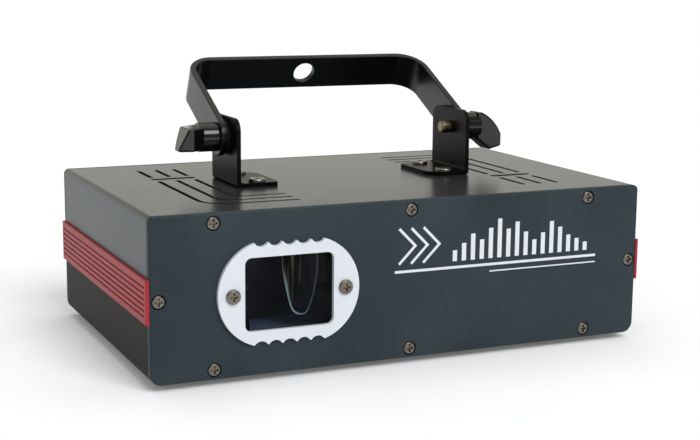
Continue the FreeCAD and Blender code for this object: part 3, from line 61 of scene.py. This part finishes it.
def add(tree, kind, inputs, **settings):
    """A shader node with its settings, and with each input set, or linked to another node's output."""
    node = tree.nodes.new("ShaderNode" + kind)
    for name, value in settings.items():
        setattr(node, name, value)
    for socket, value in inputs.items():
        if isinstance(value, bpy.types.NodeSocket):
            tree.links.new(value, node.inputs[socket])
        else:
            node.inputs[socket].default_value = value
    return node


def material(name, inputs):
    """A new material with its node tree, its surface shader with those inputs set, and object coordinates."""
    made = bpy.data.materials.new(name)
    made.use_nodes = True
    tree = made.node_tree
    shader = tree.nodes["Principled BSDF"]
    for socket, value in inputs.items():
        shader.inputs[socket].default_value = value
    place = add(tree, "TexCoord", {}).outputs["Object"]
    return made, tree, shader, place


def dress(tree, shader, color, roughness=None, height=None, depth_mm=0.0):
    """Links a colour, and where given a roughness and a bump of that depth, to the surface shader."""
    tree.links.new(color, shader.inputs["Base Color"])
    if roughness:
        tree.links.new(roughness, shader.inputs["Roughness"])
    if height:
        bump = add(tree, "Bump", {"Height": height, "Distance": depth_mm * MM, "Strength": 1.0})
        tree.links.new(bump.outputs["Normal"], shader.inputs["Normal"])


# Materials

def satin_paint(name, dark, light, rough, flank_rough, ior):
    """Stove enamel: a faint orange peel softens its reflections, a cool tint on them is a painted reflection
    of a bluish room, and handling dulls its flanks.
    """
    # The pale blue specular tint is painted: it turns every reflection bluish, as a painted reflection of a
    # bluish room.
    made, tree, shader, place = material(name, {"IOR": ior, "Specular Tint": paint("#d8eeff")})
    peel = add(tree, "TexNoise", {"Vector": place, "Scale": per(0.8), "Detail": 0.0})
    patch = add(tree, "TexNoise", {"Vector": place, "Scale": per(38), "Detail": 4.0})
    color = add(tree, "Mix", {"Factor": patch.outputs["Fac"], COLOR_A: paint(dark), COLOR_B: paint(light)},
                data_type="RGBA")
    facing = add(tree, "SeparateXYZ", {"Vector": add(tree, "TexCoord", {}).outputs["Normal"]})
    dull = add(tree, "MapRange", {"Value": facing.outputs["Z"], "From Min": 0.2, "From Max": 0.8,
                                  "To Min": flank_rough, "To Max": rough})
    worn = add(tree, "MapRange", {"Value": patch.outputs["Fac"], "To Min": -0.02, "To Max": 0.02})
    rub = add(tree, "Math", {0: dull.outputs["Result"], 1: worn.outputs["Result"]}, operation="ADD")
    dress(tree, shader, color.outputs[COLOR_MIX], rub.outputs["Value"], peel.outputs["Fac"],
          depth_mm=0.001)
    return made


def grained_panel():
    """Brushed aluminium under a dark coat: a close grain runs across the panel and mottles its colour."""
    made, tree, shader, place = material("grained_panel", {"IOR": 1.3})
    # Brushed grain is about 0.1 mm wide, too fine to show, so it is drawn some five times as coarse.
    grain_mm, grain_runs = 0.55, 6
    along = add(tree, "Mapping", {"Vector": place, "Scale": (1 / grain_runs, 1, 1)})
    grain = add(tree, "TexNoise", {"Vector": along.outputs["Vector"], "Scale": per(grain_mm), "Detail": 4.0,
                                   "Roughness": 0.6})
    mottle = add(tree, "TexNoise", {"Vector": place, "Scale": per(45), "Detail": 3.0})
    both = add(tree, "Math", {0: grain.outputs["Fac"], 1: mottle.outputs["Fac"]}, operation="ADD")
    shade = add(tree, "MapRange", {"Value": both.outputs["Value"], "From Min": 0.6, "From Max": 1.4})
    color = add(tree, "Mix", {"Factor": shade.outputs["Result"], COLOR_A: paint("#1f292d"),
                              COLOR_B: paint("#344146")}, data_type="RGBA")
    dull = add(tree, "MapRange", {"Value": grain.outputs["Fac"], "To Min": 0.42, "To Max": 0.6})
    dress(tree, shader, color.outputs[COLOR_MIX], dull.outputs["Result"], grain.outputs["Fac"],
          depth_mm=0.01)
    return made


def powder_coat(name, dark, light, rough, ior):
    """Powder coat on sheet metal: a close pebbled skin, more or less satin, that breaks up reflections."""
    made, tree, shader, place = material(name, {"IOR": ior})
    # The pebbles are about 0.3 mm wide, too fine to show, so they are drawn twice as coarse.
    pebble = add(tree, "TexNoise", {"Vector": place, "Scale": per(0.7), "Detail": 2.0})
    patch = add(tree, "TexNoise", {"Vector": place, "Scale": per(22), "Detail": 3.0})
    color = add(tree, "Mix", {"Factor": patch.outputs["Fac"], COLOR_A: paint(dark), COLOR_B: paint(light)},
                data_type="RGBA")
    spread = 0.06
    dull = add(tree, "MapRange", {"Value": patch.outputs["Fac"], "To Min": rough - spread,
                                  "To Max": rough + spread})
    dress(tree, shader, color.outputs[COLOR_MIX], dull.outputs["Result"], pebble.outputs["Fac"],
          depth_mm=0.015)
    return made


def moulded(name, dark, light, rough, grain_mm, ior=1.5):
    """A moulded surface, and ink and ground glass like it: one colour, faint flow marks and a fine grain."""
    made, tree, shader, place = material(name, {"IOR": ior})
    # A mould's spark grain is about 0.1 mm wide, too fine to show, so each finish asks for a coarser one.
    grain = add(tree, "TexNoise", {"Vector": place, "Scale": per(grain_mm), "Detail": 2.0})
    flow = add(tree, "TexNoise", {"Vector": place, "Scale": per(16), "Detail": 3.0, "Distortion": 0.6})
    color = add(tree, "Mix", {"Factor": flow.outputs["Fac"], COLOR_A: paint(dark), COLOR_B: paint(light)},
                data_type="RGBA")
    spread = 0.05
    dull = add(tree, "MapRange", {"Value": flow.outputs["Fac"], "To Min": rough - spread,
                                  "To Max": rough + spread})
    dress(tree, shader, color.outputs[COLOR_MIX], dull.outputs["Result"], grain.outputs["Fac"],
          depth_mm=0.012)
    return made


def plated(name, dark, light, rough, grain_mm):
    """Plated or bare metal: a metallic glint with fine tool marks and a slight clouding."""
    made, tree, shader, place = material(name, {"Metallic": 1.0})
    # Tool marks are under 0.1 mm apart, too fine to show, so each finish asks for coarser ones.
    marks = add(tree, "TexNoise", {"Vector": place, "Scale": per(grain_mm), "Detail": 4.0})
    cloud = add(tree, "TexNoise", {"Vector": place, "Scale": per(6), "Detail": 3.0})
    color = add(tree, "Mix", {"Factor": cloud.outputs["Fac"], COLOR_A: paint(dark), COLOR_B: paint(light)},
                data_type="RGBA")
    spread = 0.08
    dull = add(tree, "MapRange", {"Value": marks.outputs["Fac"], "To Min": rough - spread,
                                  "To Max": rough + spread})
    dress(tree, shader, color.outputs[COLOR_MIX], dull.outputs["Result"], marks.outputs["Fac"],
          depth_mm=0.006)
    return made


def coated_glass():
    """Thin coated glass: it is clear and hardly reflects, and a trace of dust and a bluish coat veil it."""
    made, tree, shader, place = material("coated_glass", {"IOR": 1.5, "Roughness": 0.03})
    dust = add(tree, "TexNoise", {"Vector": place, "Scale": per(9), "Detail": 5.0})
    veil = add(tree, "MapRange", {"Value": dust.outputs["Fac"], "From Min": 0.4, "From Max": 0.8,
                                  "To Min": 0.06, "To Max": 0.12})
    color = add(tree, "Mix", {"Factor": dust.outputs["Fac"], COLOR_A: paint("#0c0f16"),
                              COLOR_B: paint("#1a2029")}, data_type="RGBA")
    dress(tree, shader, color.outputs[COLOR_MIX])
    tree.links.new(veil.outputs["Result"], shader.inputs["Alpha"])
    return made


def silvered_glass():
    """A first surface mirror: silver on glass, bright and a little cloudy in places."""
    made, tree, shader, place = material("silvered_glass", {"Metallic": 1.0})
    haze = add(tree, "TexNoise", {"Vector": place, "Scale": per(7), "Detail": 3.0})
    color = add(tree, "Mix", {"Factor": haze.outputs["Fac"], COLOR_A: paint("#dfe6ee"),
                              COLOR_B: paint("#f2f5f8")}, data_type="RGBA")
    dull = add(tree, "MapRange", {"Value": haze.outputs["Fac"], "To Min": 0.02, "To Max": 0.08})
    dress(tree, shader, color.outputs[COLOR_MIX], dull.outputs["Result"])
    return made


def mirror_with_painted_reflection():
    """A dielectric mirror: its dark coat carries upright bronze streaks that are a painted reflection of the
    brass laser modules, and its ground rim is a dull grey.
    """
    made, tree, shader, place = material("mirror_with_painted_reflection", {})
    square_on, streak_runs = (0.7071, 0.7071, 0), 14
    normal = add(tree, "TexCoord", {}).outputs["Normal"]
    facing = add(tree, "VectorMath", {0: normal, 1: square_on}, operation="DOT_PRODUCT")
    flat = add(tree, "Math", {0: facing.outputs["Value"]}, operation="ABSOLUTE")
    rim = add(tree, "Math", {0: flat.outputs["Value"], 1: 0.5}, operation="LESS_THAN")
    # The bronze streaks are a painted reflection, not marks in the coat.
    upright = add(tree, "Mapping", {"Vector": place, "Scale": (1, 1, 1 / streak_runs)})
    streak = add(tree, "TexNoise", {"Vector": upright.outputs["Vector"], "Scale": per(3), "Detail": 2.0})
    bronze = add(tree, "MapRange", {"Value": streak.outputs["Fac"], "From Min": 0.55, "From Max": 0.66})
    coat = add(tree, "Mix", {"Factor": bronze.outputs["Result"], COLOR_A: paint("#17161a"),
                             COLOR_B: paint("#b3a074")}, data_type="RGBA")
    color = add(tree, "Mix", {"Factor": rim.outputs["Value"], COLOR_A: coat.outputs[COLOR_MIX],
                              COLOR_B: paint("#67645e")}, data_type="RGBA")
    silver = add(tree, "MapRange", {"Value": rim.outputs["Value"], "To Min": 0.4, "To Max": 0.0})
    tree.links.new(silver.outputs["Result"], shader.inputs["Metallic"])
    dull = add(tree, "MapRange", {"Value": rim.outputs["Value"], "To Min": 0.08, "To Max": 0.5})
    dress(tree, shader, color.outputs[COLOR_MIX], dull.outputs["Result"])
    return made


def solder_mask():
    """Green solder mask over copper: raised, paler tracks in straight runs, and tinned pads."""
    made, tree, shader, place = material("solder_mask", {"IOR": 1.5})
    # Tracks run about 1 mm apart, too fine to show, so they are drawn ten times as coarse.
    tracks = add(tree, "TexBrick", {"Vector": place, "Scale": per(10), "Mortar Size": 0.06,
                                    "Color1": paint("#0d4a29"), "Color2": paint("#0f5630"),
                                    "Mortar": paint("#1f7a48")})
    pad_pitch_mm, pad_share = 2.5, 0.2
    pads = add(tree, "TexVoronoi", {"Vector": place, "Scale": per(pad_pitch_mm), "Randomness": 0.35})
    pad = add(tree, "Math", {0: pads.outputs["Distance"], 1: pad_share}, operation="LESS_THAN")
    color = add(tree, "Mix", {"Factor": pad.outputs["Value"], COLOR_A: tracks.outputs["Color"],
                              COLOR_B: paint("#b9b7a8")}, data_type="RGBA")
    dull = add(tree, "MapRange", {"Value": pad.outputs["Value"], "To Min": 0.34, "To Max": 0.25})
    dress(tree, shader, color.outputs[COLOR_MIX], dull.outputs["Result"], tracks.outputs["Fac"],
          depth_mm=0.03)
    return made


def smoked_acrylic():
    """Smoked red acrylic over a display: dark and glossy, with the faint bars of the digits behind it."""
    made, tree, shader, place = material("smoked_acrylic", {"IOR": 1.49})
    digits = add(tree, "TexBrick", {"Vector": place, "Scale": per(7), "Mortar Size": 0.05,
                                    "Color1": paint("#1c0506"), "Color2": paint("#240708"),
                                    "Mortar": paint("#3a0d0f")})
    smear = add(tree, "TexNoise", {"Vector": place, "Scale": per(5), "Detail": 3.0})
    dull = add(tree, "MapRange", {"Value": smear.outputs["Fac"], "To Min": 0.06, "To Max": 0.16})
    dress(tree, shader, digits.outputs["Color"], dull.outputs["Result"])
    return made


# Screen-printed ink is flat and a little grey, and the ground glass is a pale blue as a painted highlight on
# the mirror's rim.
white_ink = moulded("screen_ink", "#d8dcde", "#e6e9ea", rough=0.55, grain_mm=0.6)
ground_glass_highlight = moulded("ground_glass_highlight", "#a8d8ee", "#cdebf8", rough=0.25, grain_mm=0.4)

# Each finish, its darker and lighter colour first, with the nodes that wear it.
FINISHES = {
    # The roof mirrors the room softly, and its ends are duller.
    satin_paint("satin_enamel", "#252727", "#2b2d2d", rough=0.27, flank_rough=0.4, ior=1.6): ["upper_shell"],
    # The lower half is a warm black with hardly a reflection; it is darker and warmer than the roof's enamel
    # as painted shade.
    satin_paint("dull_enamel_painted_shade", "#1d1b17", "#26241f", rough=0.5, flank_rough=0.5, ior=1.15): ["lower_shell"],
    grained_panel(): ["front_panel"],
    # Deep black, with soft bright bands along the bends.
    powder_coat("satin_coat", "#050607", "#090b0c", rough=0.3, ior=1.42): ["yoke"],
    # Deep black with a faint sheen.
    powder_coat("thin_coat", "#070707", "#0c0c0b", rough=0.34, ior=1.18): ["bracket_left", "bracket_right"],
    # A flat, slightly warm black.
    powder_coat("matt_coat", "#121211", "#191917", rough=0.6, ior=1.4): ["rear_panel"],
    # A deep red with a soft sheen along the ribs.
    moulded("red_abs", "#9c262c", "#ac3038", rough=0.45, grain_mm=0.5, ior=1.34): [
        "side_trim_left", "side_trim_right", "power_rocker"],
    # A cool satin white.
    moulded("white_abs", "#d6dae0", "#e2e6eb", rough=0.4, grain_mm=0.5): ["aperture_plate"],
    # Black, with sharp highlights on the facets.
    moulded("glossy_nylon", "#0a0b0b", "#101111", rough=0.15, grain_mm=0.5, ior=1.55): [
        "knob_left", "knob_right"],
    # Black, with a broad soft sheen.
    moulded("black_nylon", "#101111", "#191a1a", rough=0.36, grain_mm=0.5): [
        "fan_frame", "fan_rotor", "inlet", "power_switch", "sensitivity_dial",
        "menu_button_1", "menu_button_2", "menu_button_3", "menu_button_4"],
    # A matt charcoal.
    moulded("moulded_epoxy", "#151517", "#202023", rough=0.5, grain_mm=0.4): [
        "main_board_parts", "power_parts", "menu_board_parts", "x_motor", "y_motor"],
    # A dusty black without a highlight.
    moulded("black_rubber", "#111111", "#1b1b1a", rough=0.75, grain_mm=0.8): [
        "rubber_feet", "window_gasket", "friction_washers"],
    # A brownish grey with a dull glint.
    plated("dull_zinc", "#6e685f", "#8c857b", rough=0.38, grain_mm=0.4): ["front_screws", "aperture_screws"],
    # A cleaner, brighter grey.
    plated("zinc_plate", "#8d8a84", "#a8a59d", rough=0.34, grain_mm=0.4): [
        "rear_screws", "panel_screws", "bracket_screws", "bracket_nuts", "inner_screws"],
    # Bright and a little warm.
    plated("nickel_plate", "#b5b2aa", "#c9c6bf", rough=0.24, grain_mm=0.4): [
        "fan_guard", "dmx_sockets", "standoffs", "dial_pot", "x_shaft", "y_shaft"],
    # A pale grey with a soft lustre.
    plated("machined_aluminium", "#b9babb", "#cfd0d1", rough=0.32, grain_mm=0.3): ["microphone"],
    # A dark metal with a bluish glint.
    plated("black_anodising", "#15171b", "#232832", rough=0.34, grain_mm=0.3): [
        "laser_mounts", "mirror_posts", "scanner_block"],
    # A dusky blue floor behind the window, painted a paler blue as a painted reflection of bluish glints.
    powder_coat("blue_coat", "#43546c", "#6a82a2", rough=0.4, ior=1.45): ["optics_deck"],
    # A tarnished, greyish yellow.
    plated("dull_brass", "#7d745a", "#968b6c", rough=0.4, grain_mm=0.4): ["stud_left", "stud_right"],
    # A clean golden yellow.
    plated("yellow_brass", "#a98a52", "#c2a266", rough=0.3, grain_mm=0.4): [
        "laser_modules", "connector_pins"],
    silvered_glass(): ["fixed_mirrors"],
    # Almost black, with a sharp bluish reflection.
    plated("dichroic_coat", "#1a1c24", "#2a2d3a", rough=0.16, grain_mm=0.3): ["y_mirror"],
    # A dark mirror whose bronze streaks are a painted reflection.
    mirror_with_painted_reflection(): ["x_mirror"],
    coated_glass(): ["window_glass"],
    solder_mask(): ["main_board", "power_board", "menu_board"],
    smoked_acrylic(): ["display"],
}
for finish, members in FINISHES.items():
    for name in members:
        mesh = nodes[name].data
        mesh.materials.clear()
        mesh.materials.append(finish)


# Pieces added to the CAD: two prints and a bevel

def stroke(path, width):
    """The outline of a line of that width along a path, mitred at its corners."""
    points = [Vector(point) for point in path]
    sides = ([], [])
    for i, point in enumerate(points):
        before = (point - points[i - 1]).normalized() if i else None
        after = (points[i + 1] - point).normalized() if i + 1 < len(points) else None
        along = ((before or after) + (after or before)).normalized()
        across = Vector((-along.y, along.x))
        lean = across.dot(Vector((-(after or before).y, (after or before).x)))
        for way, side in zip((1, -1), sides):
            side.append(point + across * (way * width / 2 / lean))
    return sides[0] + sides[1][::-1]


def place_piece(name, mesh, finish, body):
    """The built mesh as a piece with its finish that moves with a body."""
    bmesh.ops.recalc_face_normals(mesh, faces=mesh.faces)
    data = bpy.data.meshes.new(name)
    mesh.to_mesh(data)
    data.materials.append(finish)
    piece = bpy.data.objects.new(name, data)
    bpy.context.scene.collection.objects.link(piece)
    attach(piece, body)


def printed(name, outlines, wall, lift):
    """Ink on a wall at that y: each outline, in millimetres across and up, raised from it by the lift."""
    mesh = bmesh.new()
    for rim in outlines:
        low = [mesh.verts.new((x * MM, wall * MM, z * MM)) for x, z in rim]
        high = [mesh.verts.new((x * MM, (wall + lift) * MM, z * MM)) for x, z in rim]
        mesh.faces.new(low)
        mesh.faces.new(high)
        for i in range(len(rim)):
            mesh.faces.new((low[i - 1], low[i], high[i], high[i - 1]))
    place_piece(name, mesh, white_ink, "housing")


def front_motif():
    """Three chevrons and a row of level bars over two thin rules, on the right of the front panel."""
    line, bar = 1.2, 2.2
    top, bottom, tip = 62, 46, 8
    outlines = [stroke([(x, top), (x + tip, (top + bottom) / 2), (x, bottom)], line) for x in (-6, 0, 6)]
    first_bar, bar_pitch, bar_foot = 22, 4.6, 45.4
    levels = [5, 8, 12, 9, 14, 18, 13, 16, 11, 7, 10, 15, 12, 8, 6, 4]
    for number, level in enumerate(levels):
        x = first_bar + number * bar_pitch
        outlines.append(stroke([(x, bar_foot), (x, bar_foot + level)], bar))
    rule_end = 97
    for start, height, width in ((-8, 42.6, line), (40, 39.4, line / 2)):
        outlines.append(stroke([(start, height), (rule_end, height)], width))
    printed("front_motif", outlines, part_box("front_panel")[0][1] / MM, -INK_MM)


def dial_scale():
    """Eleven ticks round the sensitivity dial, longer at both ends and in the middle."""
    ticks, start, sweep = 11, 225, 270
    gap, short, tall, line = 1, 1.1, 1.8, 0.45
    low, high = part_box("sensitivity_dial")
    middle = Vector([(low[i] + high[i]) / 2 / MM for i in (0, 2)])
    near = (high[0] - low[0]) / 2 / MM + gap
    outlines = []
    for number in range(ticks):
        turn = math.radians(start - number * sweep / (ticks - 1))
        way = Vector((math.cos(turn), math.sin(turn)))
        far = near + (tall if number % (ticks // 2) == 0 else short)
        outlines.append(stroke([middle + way * near, middle + way * far], line))
    printed("dial_scale", outlines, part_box("rear_panel")[1][1] / MM, INK_MM)


def mirror_bevel():
    """The ground bevel of the oval scanner mirror: a half-round rim on its front, pale blue as a painted
    highlight, and widest at lower left so that highlight is broadest there.
    """
    narrow, growth, falloff = 0.08, 0.6, 3
    inset, sides = 1.1, 6
    out, up = Vector((-1, -1, 0)).normalized(), Vector((0, 0, 1))
    left = out.cross(up)
    wide_end = (left - up * 1.2).normalized()
    glass = nodes["x_mirror"]
    points = [glass.matrix_world @ vertex.co for vertex in glass.data.vertices]
    front = max(point.dot(out) for point in points)
    rim = [point for point in points if point.dot(out) > front - 0.1 * MM]
    middle = sum(rim, Vector()) / len(rim)
    rim.sort(key=lambda point: math.atan2((point - middle).z, (point - middle).dot(left)))
    turns = [math.pi * side / sides for side in range(sides + 1)]
    mesh = bmesh.new()
    loops = []
    for point in rim:
        inward = (middle - point).normalized()
        # The rim widens towards lower left to spread its painted highlight there.
        width = (narrow + growth * max(0, -inward.dot(wide_end)) ** falloff) * MM
        loops.append([mesh.verts.new(point + inward * width * (inset - math.cos(turn))
                                     + out * width * math.sin(turn)) for turn in turns])
    for here, there in zip(loops, loops[1:] + loops[:1]):
        for side in range(len(here)):
            mesh.faces.new((here[side - 1], here[side], there[side], there[side - 1]))
    place_piece("mirror_bevel", mesh, ground_glass_highlight, "x_scanner")


front_motif()
dial_scale()
mirror_bevel()


# Camera and studio

def camera():
    """A short telephoto lens in front, to the left and a little above."""
    spot_mm = (-280.6, -630.95, 178.4)
    yaw, pitch, roll = (math.radians(turn) for turn in (24.37, 10.33, 0.54))
    ahead = Vector((math.sin(yaw) * math.cos(pitch), math.cos(yaw) * math.cos(pitch), -math.sin(pitch)))
    level = Vector((math.cos(yaw), -math.sin(yaw), 0))
    right = level * math.cos(roll) + level.cross(ahead) * math.sin(roll)
    data = bpy.data.cameras.new("camera")
    data.sensor_fit = "HORIZONTAL"
    data.sensor_width = 36
    data.lens = 73.48
    seat = bpy.data.objects.new("camera", data)
    aim = Matrix((right, right.cross(ahead), -ahead)).transposed().to_4x4()
    seat.matrix_world = Matrix.Translation(Vector(spot_mm) * MM) @ aim
    bpy.context.scene.collection.objects.link(seat)
    bpy.context.scene.camera = seat


def lamp(name, spot, strength, spread, color):
    """A far soft box, as wide as its spread in degrees, that shines from a place towards the origin."""
    data = bpy.data.lights.new(name, "SUN")
    data.energy = strength
    data.angle = math.radians(spread)
    data.color = paint(color)[:3]
    item = bpy.data.objects.new(name, data)
    item.location = spot
    item.rotation_euler = Vector(spot).to_track_quat("Z", "Y").to_euler()
    bpy.context.scene.collection.objects.link(item)


def seen_directly(tree):
    """Two outputs: one is 1 for rays from the camera or through glass, and the other for glossy rays."""
    rays = add(tree, "LightPath", {})
    direct = add(tree, "Math", {0: rays.outputs["Is Camera Ray"], 1: rays.outputs["Is Transmission Ray"]},
                 operation="MAXIMUM")
    return direct.outputs["Value"], rays.outputs["Is Glossy Ray"]


def room():
    """Even fill light that looks plain white, and mirrors as a bright sweep behind and dimmer elsewhere."""
    fill, white = 0.45, 1.0
    world = bpy.data.worlds.new("studio")
    world.use_nodes = True
    tree = world.node_tree
    seen, mirrored = seen_directly(tree)
    ways = add(tree, "SeparateXYZ", {"Vector": add(tree, "TexCoord", {}).outputs["Generated"]})
    behind = add(tree, "MapRange", {"Value": ways.outputs["Y"], "From Min": -0.5, "From Max": 0.5,
                                    "To Min": 0.3, "To Max": 1.0})
    above = add(tree, "MapRange", {"Value": ways.outputs["Z"], "From Min": 0.14, "From Max": 0.34,
                                   "To Min": 1.0, "To Max": 0.4})
    sweep = add(tree, "Math", {0: behind.outputs["Result"], 1: above.outputs["Result"]},
                operation="MULTIPLY")
    lit = add(tree, "Mix", {"Factor": mirrored, VALUE_A: fill, VALUE_B: sweep.outputs["Value"]})
    level = add(tree, "Mix", {"Factor": seen, VALUE_A: lit.outputs[VALUE_MIX], VALUE_B: white})
    glow = add(tree, "Mix", {"Factor": mirrored, COLOR_A: paint("#ffffff"), COLOR_B: paint("#fffdf2")},
               data_type="RGBA")
    background = tree.nodes["Background"]
    tree.links.new(glow.outputs[COLOR_MIX], background.inputs["Color"])
    tree.links.new(level.outputs[VALUE_MIX], background.inputs["Strength"])
    bpy.context.scene.world = world


def sweep_floor():
    """Matt white paper: it keeps the object's shadow, and a little glow of its own lifts it to white."""
    reach, own_glow = 8.0, 0.12
    mesh = bpy.data.meshes.new("floor")
    mesh.from_pydata([(-reach, -reach, 0), (reach, -reach, 0), (reach, reach, 0), (-reach, reach, 0)], [],
                     [(0, 1, 2, 3)])
    floor = bpy.data.objects.new("floor", mesh)
    bpy.context.scene.collection.objects.link(floor)
    made, tree, shader, place = material("white_sweep", {"Roughness": 0.9,
                                                         "Emission Color": paint("#ffffff")})
    mottle = add(tree, "TexNoise", {"Vector": place, "Scale": per(60), "Detail": 3.0})
    color = add(tree, "Mix", {"Factor": mottle.outputs["Fac"], COLOR_A: paint("#f4f4f4"),
                              COLOR_B: paint("#ffffff")}, data_type="RGBA")
    dress(tree, shader, color.outputs[COLOR_MIX])
    seen, mirrored = seen_directly(tree)
    shown = add(tree, "Math", {0: seen, 1: mirrored}, operation="MAXIMUM")
    lift = add(tree, "Math", {0: shown.outputs["Value"], 1: own_glow}, operation="MULTIPLY")
    tree.links.new(lift.outputs["Value"], shader.inputs["Emission Strength"])
    mesh.materials.append(made)


camera()
room()
sweep_floor()
lamp("key", (0.3, -1.6, 1.5), strength=1.85, spread=34, color="#f6faff")
lamp("overhead", (0.2, 0.6, 2.4), strength=0.5, spread=60, color="#fff8ee")
bpy.context.scene.view_settings.view_transform = "Standard"
